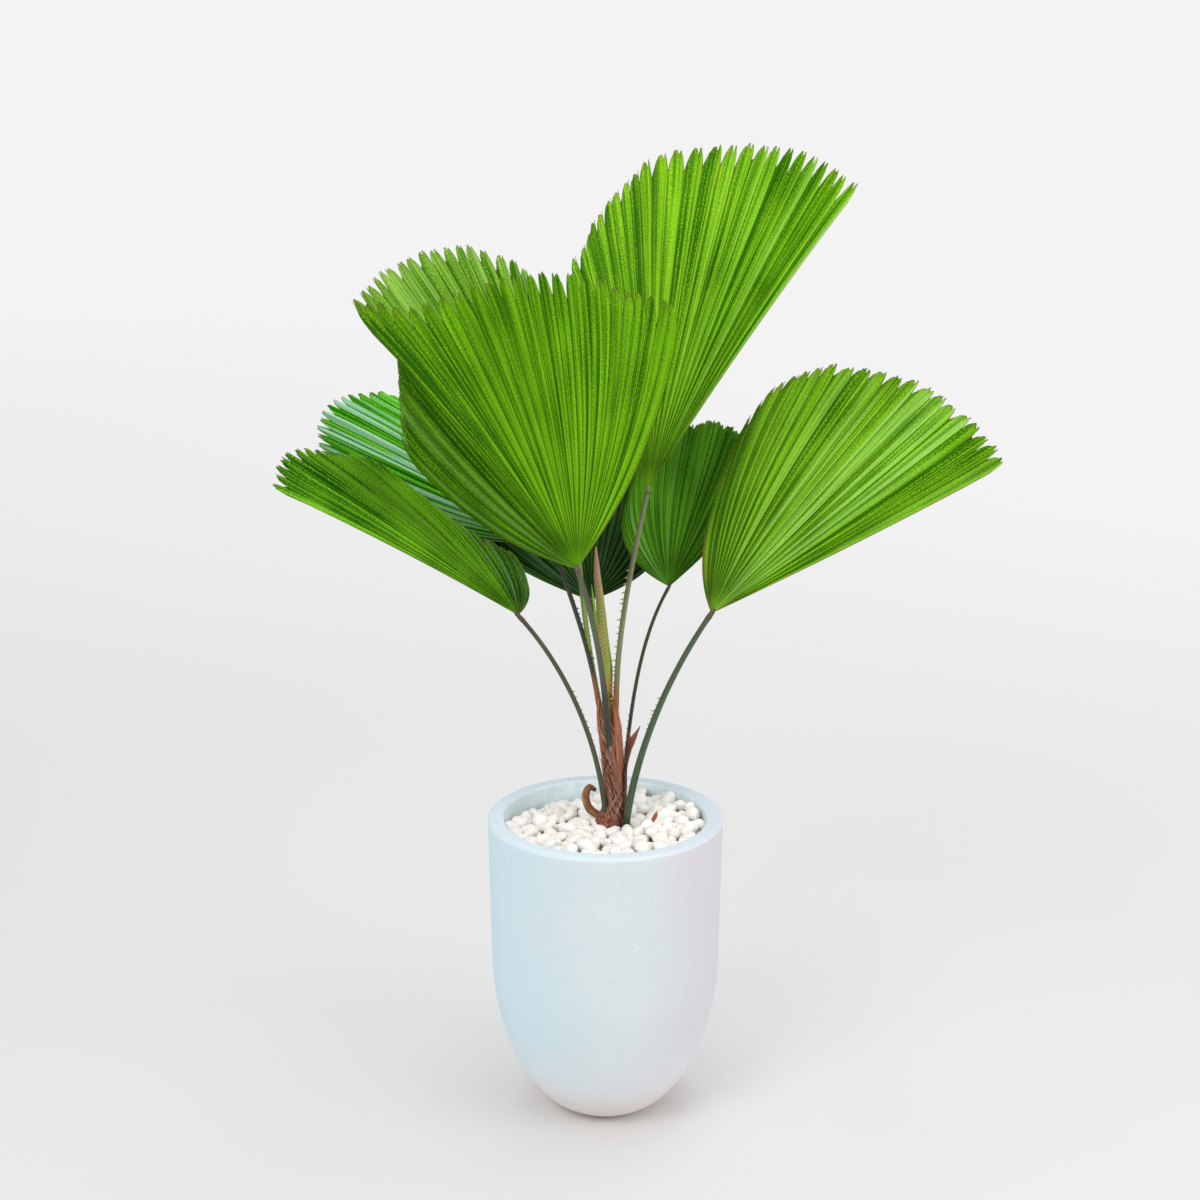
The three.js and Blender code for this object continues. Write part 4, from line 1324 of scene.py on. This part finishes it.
def leaf_finish(name, leaf, tints):
    """Living leaf: fine veins along the ribs, pale creases, brown points on the rim, with painted shade in
    the valleys and on one side of each fold, and painted light, shade and sheen over the fan.
    """
    net = Shader("leaf_" + name)
    place, run, tone = net.split(net.mark("fan"))
    rim, under = net.number("rim"), net.number("under")
    local = net.math("FRACT", place)
    width = run * segment_spread(leaf)
    from_middle = net.math("ABSOLUTE", local - 0.5)
    to_ridge = from_middle * width
    to_valley = (0.5 - from_middle) * width

    across = place / leaf["segments"]
    veins, bands, grain = leaf_grain(net, place, run, tone)
    cloud = net.noise(net.place(), 9.0, detail=2.0)
    value = 0.5 + (veins - 0.5) * 0.5 + (bands - 0.5) * 0.4 + (grain - 0.5) * 0.3
    # The flank term paints light on one side of each fold and painted shade on the other.
    value = value + (cloud - 0.5) * tints["cloud"] + (0.5 - local) * tints["flank"] + (tone - 0.5) * 0.35
    colour = net.mix(value, paint(*tints["dark"]), paint(*tints["light"]))

    ridge = net.step(to_ridge, 0.0013, 0.0004) * net.step(run, 0.02, 0.12)
    pale = paint(*(min(255, c * 1.05 + 20) for c in tints["light"]))
    colour = net.mix(ridge * (0.25 + grain * 0.4), colour, pale)
    dash = net.step(grain * veins, 0.25, 0.8)
    colour = net.mix(dash * 0.42, colour, pale)
    # Painted shade: a dark line along each fold's valley.
    shaded_crease = net.step(to_valley, 0.0030, 0.0007) * net.step(local, 0.4, 0.6)
    shaded_crease = net.high(shaded_crease, net.step(to_valley, 0.0012, 0.0004))
    colour = net.mix(shaded_crease * 0.6, colour, paint(*(c * 0.5 for c in tints["dark"])))
    colour = net.mix(net.step(run, 0.05, 0.0) * 0.4, colour, pale)

    # A painted sheen: on some segments a pale silvery tint stands in for the sky's reflection on the waxy
    # blade.
    patch = net.step(tone + (bands - 0.5) * 0.6, 0.45, 0.68)
    sheen = net.along(across, tints["silver"]) * patch * net.step(local, 1.0, 0.55) * (0.45 + veins * 0.65)
    colour = net.mix(sheen, colour, paint(*tints["sheen"]))
    # Painted light and shade: the colour is made brighter or darker over the fan, darkest where a fold or
    # part of the blade lies in shade.
    colour = net.vector("SCALE", colour, scale=net.along(across, tints["shade"]))
    colour = net.mix(under * tints["under"], colour, net.mix(value, paint(64, 116, 20), paint(128, 176, 60)))

    flank = net.low(place, leaf["segments"] - place) * width
    hem = net.step(flank, 0.0020, 0.0008) * net.step(cloud, 0.36, 0.5)
    colour = net.mix(hem * tints["hem"], colour, paint(150, 92, 48))
    colour = browned_rim(net, colour, rim, to_valley, cloud, veins)

    height = veins * 0.4 + grain * 0.3 + ridge * 0.4 - shaded_crease * 0.4
    normal = net.bump(height, 0.6, 0.0012)
    roughness = 0.48 + (grain - 0.5) * 0.12 + under * 0.1
    return net.surface(colour, roughness, normal, specular=0.05)


def stalk_finish(name, tints):
    """Petiole skin: long streaks, a darker channel, a brown foot and horny thorns."""
    net = Shader("petiole_" + name)
    run = net.number("run")
    x, y, _ = net.split(net.mark("round"))
    streak = net.noise(net.join(x * 5.0, y * 5.0, run * 14.0), 1.0, detail=4.0)
    fine = net.noise(net.place(), 620.0, detail=2.0)
    value = 0.5 + (streak - 0.5) * 2.2 + (fine - 0.5) * 0.7
    colour = net.mix(value, paint(*tints["dark"]), paint(*tints["body"]))
    margin = net.step(net.math("ABSOLUTE", y), 0.72, 0.96)
    colour = net.mix(margin * 0.4, colour, paint(92, 66, 42))
    foot = net.step(run + (streak - 0.5) * 0.04, tints["foot_run"], tints["foot_run"] * 0.7)
    horny = net.mix(streak, paint(*(c * 0.7 for c in tints["foot"])), paint(*tints["foot"]))
    colour = net.mix(foot * 0.9, colour, horny)
    collar = net.step(net.math("ABSOLUTE", net.number("rest") - 0.005), 0.004, 0.0015)
    colour = net.mix(collar * 0.75, colour, paint(104, 74, 44))
    thorn, tip = net.number("thorn"), net.number("tip")
    horn = net.mix(tip, paint(*tints["horn"]), paint(*(c * 0.7 for c in tints["horn"])))
    colour = net.mix(thorn, colour, horn)
    normal = net.bump(streak * 0.7 + fine * 0.4, 0.35, 0.0008)
    return net.surface(colour, 0.38 + streak * 0.18, normal, specular=0.3)


def bark_finish():
    """Leaf bases and their fibre: red-brown below, orange-tan above, streaked on the slant, with painted
    shade in the hollows.
    """
    net = Shader("bark")
    _, _, height = net.split(net.place())
    owner, raised = net.number("owner"), net.number("raised")
    fibre = net.mark("fibre")
    slant = net.step(net.noise(fibre, 1100.0, detail=3.0), 0.34, 0.66)
    broad = net.noise(fibre, 160.0, detail=2.0)
    fleck = net.noise(net.place(), 420.0, detail=3.0)
    lower = net.mix(slant, paint(96, 42, 34), paint(206, 140, 116))
    upper = net.mix(slant, paint(126, 70, 36), paint(218, 158, 98))
    colour = net.mix(net.step(height + (broad - 0.5) * 0.05, 0.636, 0.676), lower, upper)
    for number, (share, dark, light) in BASE_TINTS.items():
        own = net.step(net.math("ABSOLUTE", owner - number), 0.6, 0.3)
        colour = net.mix(own * share, colour, net.mix(slant, paint(*dark), paint(*light)))
    collar = net.step(height + (broad - 0.5) * 0.04, 0.700, 0.724)
    colour = net.mix(collar * 0.85, colour, net.mix(slant, paint(150, 96, 30), paint(206, 180, 84)))
    colour = net.mix(net.step(fleck, 0.57, 0.66) * 0.6, colour, paint(54, 26, 18))
    # Painted shade: near black where the bark is sunk between the fibres and the leaf bases.
    colour = net.mix(net.step(raised, 0.35, -0.6) * 0.65, colour, paint(44, 20, 18))
    foot = net.mix(slant, paint(84, 40, 38), paint(156, 96, 92))
    colour = net.mix(net.step(height, 0.545, 0.510) * 0.5, colour, foot)
    normal = net.bump(slant * 0.8 + fleck * 0.35 + broad * 0.3, 0.9, 0.0018)
    return net.surface(colour, 0.78, normal, specular=0.2)


def strand_finish():
    """Dry fibres, each its own shade from straw to near black."""
    net = Shader("fibre_strand")
    tone = net.number("tone")
    fleck = net.noise(net.place(), 300.0)
    shade = tone + (fleck - 0.5) * 0.5
    dark = net.mix(net.step(shade, 0.1, 0.45), paint(58, 22, 18), paint(164, 92, 72))
    colour = net.mix(net.step(shade, 0.3, 0.75), dark, paint(224, 176, 146))
    return net.surface(colour, 0.75, net.bump(fleck, 0.4, 0.0005), specular=0.25)


def sheath_finish(name, dark, light, end):
    """Dry sheath: papery, streaked lengthways, with a tinted end."""
    net = Shader("sheath_" + name)
    wide, run, _ = net.split(net.mark("strip"))
    streak = net.noise(net.join(wide * 3.5, run * 4.0, 0.0), 1.0, detail=4.0)
    fleck = net.noise(net.place(), 500.0, detail=2.0)
    colour = net.mix(0.5 + (streak - 0.5) * 3.0, paint(*dark), paint(*light))
    colour = net.mix(net.step(run, 0.55, 1.0) * 0.6, colour, paint(*end))
    colour = net.mix(net.step(fleck, 0.57, 0.66) * 0.55, colour, paint(*(c * 0.6 for c in dark)))
    normal = net.bump(streak * 0.8 + fleck * 0.3, 0.7, 0.0012)
    return net.surface(colour, 0.66, normal, specular=0.3)


def spear_finish():
    """Unopened leaf: yellow-green with a tan herringbone of folded edges towards the point."""
    net = Shader("spear")
    turn, height, _ = net.split(net.mark("strip"))
    fold = net.math("PINGPONG", turn * 4.0, 0.5)
    lean = net.math("COSINE", turn * (2 * math.pi))
    side = net.math("ABSOLUTE", lean)
    chevron = net.math("SINE", height * 900.0 + side * 7.5)
    streak = net.noise(net.join(turn * 40.0, height * 26.0, 0.0), 1.0, detail=3.0)
    green = net.mix(streak, paint(112, 134, 48), paint(176, 186, 96))
    tan = net.mix(streak, paint(150, 108, 80), paint(214, 180, 146))
    climb = net.step(height + (streak - 0.5) * 0.03, 0.880, 0.925)
    colour = net.mix(climb * 0.9, green, tan)
    woven = net.step(chevron, -0.1, 0.5) * net.step(height, 0.77, 0.80) * net.step(lean, 0.45, 0.1)
    colour = net.mix(woven * (0.5 + streak * 0.4), colour, paint(140, 88, 56))
    base = net.step(height + (streak - 0.5) * 0.03, 0.778, 0.742)
    colour = net.mix(base * 0.8, colour, net.mix(streak, paint(150, 92, 40), paint(214, 168, 88)))
    seam = net.step(net.math("ABSOLUTE", fold - 0.25), 0.235, 0.25)
    colour = net.mix(seam * 0.6, colour, paint(96, 62, 40))
    normal = net.bump(streak * 0.5 + net.step(chevron, -1.0, 1.0) * 0.4, 0.5, 0.0008)
    return net.surface(colour, 0.5, normal, specular=0.35)


def pebble_finish():
    """Tumbled white stone: each its own warm or cool white, faintly veined, with painted shade on its
    underside.
    """
    net = Shader("white_stone")
    tone = net.number("tone")
    place = net.vector("ADD", net.place(), net.mark("drift"))
    above = net.split(net.vector("SUBTRACT", net.place(), net.mark("middle")))[2]
    cloud = net.noise(place, 60.0, detail=3.0)
    vein = net.noise(place, 130.0, detail=4.0)
    speck = net.noise(place, 900.0, detail=2.0)
    colour = net.mix(tone, paint(243, 239, 233), paint(253, 251, 248))
    colour = net.mix(net.step(cloud, 0.58, 0.78) * 0.25, colour, paint(236, 224, 208))
    # Painted shade: each pebble's lower part is tinted tan, where it sits down among the others.
    colour = net.mix(net.step(above + cloud * 0.004, 0.001, -0.007) * 0.7, colour, paint(186, 156, 126))
    thread = net.step(net.math("ABSOLUTE", vein - 0.5), 0.03, 0.0)
    colour = net.mix(thread * 0.2, colour, paint(206, 196, 186))
    normal = net.bump(speck * 0.4 + cloud * 0.8, 0.4, 0.0009)
    return net.surface(colour, 0.52, normal, specular=0.35)


def soil_finish():
    """Dark crumbly potting mix."""
    net = Shader("potting_mix")
    crumb = net.noise(net.place(), 260.0, detail=5.0)
    colour = net.mix(crumb, paint(86, 66, 50), paint(186, 160, 134))
    return net.surface(colour, 0.95, net.bump(crumb, 1.0, 0.004))


def pot_finish():
    """Matt cast pot: near white, with painted light that makes it cooler to the left and warmer to the
    right.

    It has soft blotches, pinholes, scuffs inside it and a scraped patch on its front. Painted light pales
    and tints its rim, lightens its lower part and inner wall, and adds a highlight on the rim's edge and a
    warm reflection at its bottom.
    """
    net = Shader("cast_white")
    place = net.place()
    x, y, height = net.split(place)
    out = net.math("SQRT", x * x + y * y)
    blotch = net.noise(place, 5.0, detail=3.0)
    fine = net.noise(place, 48.0, detail=4.0)
    speck = net.noise(place, 700.0, detail=2.0)
    hole = net.spots(place, 42.0)
    pits = net.step(hole, 0.075, 0.03) * net.step(fine, 0.56, 0.62)
    # Painted light: the left side is tinted cool and the right side warm, as the light falls on them.
    cool = net.step(x + (blotch - 0.5) * 0.2, 0.02, -0.2)
    colour = net.mix(blotch, paint(212, 222, 223), paint(223, 231, 233))
    colour = net.mix(cool * 0.8, colour, paint(205, 232, 243))
    warm = net.step(x + (blotch - 0.5) * 0.25, 0.0, 0.2)
    colour = net.mix(warm * 0.7, colour, paint(223, 213, 222))
    # Painted light: the lower part is lightened against the shade it gets near the floor.
    colour = net.mix(net.step(height, 0.22, 0.06) * 0.5, colour, paint(238, 236, 240))
    # A painted reflection: the very bottom is tinted warm, as light bounces off the floor.
    colour = net.mix(net.step(height, 0.10, 0.01) * 0.7, colour, paint(240, 218, 203))
    colour = net.mix(net.step(fine, 0.6, 0.75) * 0.2, colour, paint(196, 206, 208))
    colour = net.mix(pits * 0.4, colour, paint(160, 164, 164))
    patch_x, patch_height = 0.050, 0.368
    across, up = x - patch_x, height - patch_height
    patch = net.step(net.math("SQRT", across * across + up * up * 6.0), 0.038, 0.016)
    patch = patch * net.step(y, 0.0, -0.05)
    scrape = patch * net.step(net.noise(net.join(x * 170.0, height * 420.0, y), 1.0, detail=2.0), 0.53, 0.6)
    colour = net.mix(scrape * 0.3, colour, paint(244, 249, 252))
    inside = net.step(out, 0.1745, 0.1725) * net.step(height, 0.44, 0.46)
    scuff = net.step(net.noise(net.join(x * 30.0, y * 30.0, height * 9.0), 1.0, detail=4.0), 0.5, 0.66)
    # Painted light: the inner wall is lightened to near white against the shade under the rim.
    colour = net.mix(inside * 0.9, colour, paint(236, 250, 255))
    # Painted light: the rim's top is tinted blue and paler to the left, as the light falls on it.
    lip = net.step(height, 0.5205, 0.5228)
    lip_colour = net.mix(net.step(x, -0.15, 0.15), paint(230, 243, 253), paint(210, 226, 236))
    colour = net.mix(lip * 0.8, colour, lip_colour)
    # A painted highlight along the rim's outer rounded edge.
    rim_highlight = net.step(net.math("ABSOLUTE", height - 0.5185), 0.003, 0.001) * net.step(out, 0.190, 0.193)
    colour = net.mix(rim_highlight * 0.4, colour, paint(244, 252, 255))
    colour = net.mix(inside * scuff * 0.3, colour, paint(186, 194, 198))
    normal = net.bump(blotch * 0.9 + fine * 0.35 + speck * 0.1 + scrape * 0.5 - pits * 0.8, 0.35, 0.0022)
    return net.surface(colour, 0.58 + (fine - 0.5) * 0.2, normal, specular=0.4)


# The view and its light
def floor_piece():
    """A wide round floor, matt at the pot's foot, that turns into the backdrop away from it, glowing with
    painted light on the way.
    """
    around = 96
    radii = (0.0001, 1.0, 3.0, 8.0, 40.0)
    angle = whole_turn(around)
    ring = np.stack([np.cos(angle), np.sin(angle), np.zeros(around)], 1)
    points = np.concatenate([ring * radius for radius in radii])
    floor = object_from("floor", points, ring_faces(len(radii), around)[:, ::-1].tolist())
    net = Shader("floor")
    x, y, _ = net.split(net.place())
    out = net.math("SQRT", x * x + y * y)
    # Away from the pot's foot the floor glows with painted light, which also lightens the shadow round the
    # pot; its tones are darkest in the middle distance, paler far off and a little lighter to the right.
    share = net.step(out, 0.06, 0.50) * 0.62 + net.step(out, 0.8, 4.0) * 0.38
    matt = net.node("ShaderNodeBsdfDiffuse", values={"Color": paint(226, 226, 226)})
    far_from_view = net.high(y + 2.6, 1.5)
    near = 1.0 / far_from_view
    tones = (243, 240, 231, 226, 231)
    greys = [(place / 4, paint(tone, tone, tone)) for place, tone in enumerate(tones)]
    painted_floor_light = net.node("ShaderNodeValToRGB", {"stops": greys}, {0: near * 2.27})
    aside = net.high(net.low(x * near, 0.4), -0.4)
    painted_floor_light = net.vector("SCALE", painted_floor_light, scale=1.0 + aside * 0.1)
    painted_floor_light = net.mix(net.step(out, 5.0, 30.0), painted_floor_light, paint(*BACKDROP))
    glow = net.node("ShaderNodeEmission", values={"Color": painted_floor_light})
    blend = net.node("ShaderNodeMixShader", values={0: share, 1: matt, 2: glow})
    net.node("ShaderNodeOutputMaterial", values={"Surface": blend})
    floor.data.materials.append(net.material)


def camera():
    """The photograph's view."""
    scene = bpy.context.scene
    lens = bpy.data.cameras.new("camera")
    lens.sensor_width = SENSOR
    lens.lens = FOCAL_PIXELS / FRAME_PIXELS * SENSOR
    viewer = bpy.data.objects.new("camera", lens)
    viewer.location = CAMERA_PLACE
    viewer.rotation_euler = (math.radians(90 - CAMERA_TILT_DOWN), 0, 0)
    scene.collection.objects.link(viewer)
    scene.camera = viewer
    scene.view_settings.view_transform = "Standard"


def surround():
    """An even pale surround, which the camera sees as the backdrop."""
    world = bpy.data.worlds.new("surround")
    bpy.context.scene.world = world
    world.use_nodes = True
    net = Net(world.node_tree)
    net.tree.nodes.clear()
    seen = net.node("ShaderNodeLightPath", out="Is Camera Ray")
    fill = net.node("ShaderNodeBackground", values={"Color": (0.98, 0.99, 1.0, 1.0), "Strength": 0.6})
    shown = net.node("ShaderNodeBackground", values={"Color": paint(*BACKDROP), "Strength": 1.0})
    blend = net.node("ShaderNodeMixShader", values={0: seen, 1: fill, 2: shown})
    net.node("ShaderNodeOutputWorld", values={"Surface": blend})


def lights():
    """Three broad soft lights."""
    for name, (place, size, power) in LIGHTS.items():
        lamp = bpy.data.lights.new(name, "AREA")
        lamp.size = size
        lamp.energy = power
        light = bpy.data.objects.new(name, lamp)
        light.location = place
        away = np.array(place) - np.array(LIGHTS_FACE)
        tilt = math.atan2(math.hypot(away[0], away[1]), away[2])
        light.rotation_euler = (tilt, 0, math.atan2(away[1], away[0]) + math.pi / 2)
        bpy.context.scene.collection.objects.link(light)


# The whole plant
def pot():
    """The pot alone."""
    finish_piece(pot_piece(), pot_finish(), "pot")


def pebbles():
    """The pebbles that show, the lower ones between them, and the soil."""
    tree = pebble_tree()
    stone = pebble_finish()
    rng = np.random.default_rng(21)
    laid = rest_pebbles(rng)
    shown = laid[:, 2] + laid[:, 3] > bed_level(laid[:, 0], laid[:, 1]) - BED["top_layer"]
    for name, some, detail in (("pebbles_top", laid[shown], 3), ("pebbles_under", laid[~shown], 2)):
        finish_piece(pebble_piece(name, some, detail, rng, tree, stone), stone, "pebble_bed")
    finish_piece(soil_piece(), soil_finish(), "pebble_bed")


def trunk():
    """The trunk's bark and fibres, and the unopened leaf on its tip."""
    finish_piece(trunk_piece(), bark_finish(), "trunk")
    strand = strand_finish()
    finish_piece(trunk_strands(strand_tree(), strand), strand, "trunk")
    finish_piece(spear_piece(), spear_finish(), "spear_leaf")


def leaves():
    """Each leaf's blade and petiole."""
    tree = stalk_tree()
    for name, leaf in LEAVES.items():
        green = leaf_finish(name, leaf, FOLIAGE[name])
        finish_piece(blade("blade_" + name, leaf), green, "leaf_" + name)
        skin = stalk_finish(name, STALKS[name])
        finish_piece(stalk("stalk_" + name, leaf, tree, skin), skin, "petiole_" + name)


def strips(table, skins):
    """A table's free strips, each in its skin."""
    for name, strip in table.items():
        facing = [strip["facing"]] * 2
        piece = ribbon(name, strip["stations"], facing, strip["curl"], strip["rough"], strip["seed"])
        finish_piece(piece, skins[strip["skin"]], strip["node"])


def wraps(skins):
    """The torn leaf bases and nets round the trunk."""
    for name, strip in WRAPS.items():
        piece = wrap(name, strip["stations"], strip["curl"], strip["seed"])
        finish_piece(piece, skins[strip["skin"]], "trunk")


def dry_parts():
    """The sheaths, the wraps and the bits."""
    skins = {name: sheath_finish(name, *tones) for name, tones in SKINS.items()}
    strips(SHEATHS, skins)
    wraps(skins)
    strips(BITS, skins)


camera()
surround()
lights()
floor_piece()
pot()
pebbles()
trunk()
leaves()
dry_parts()
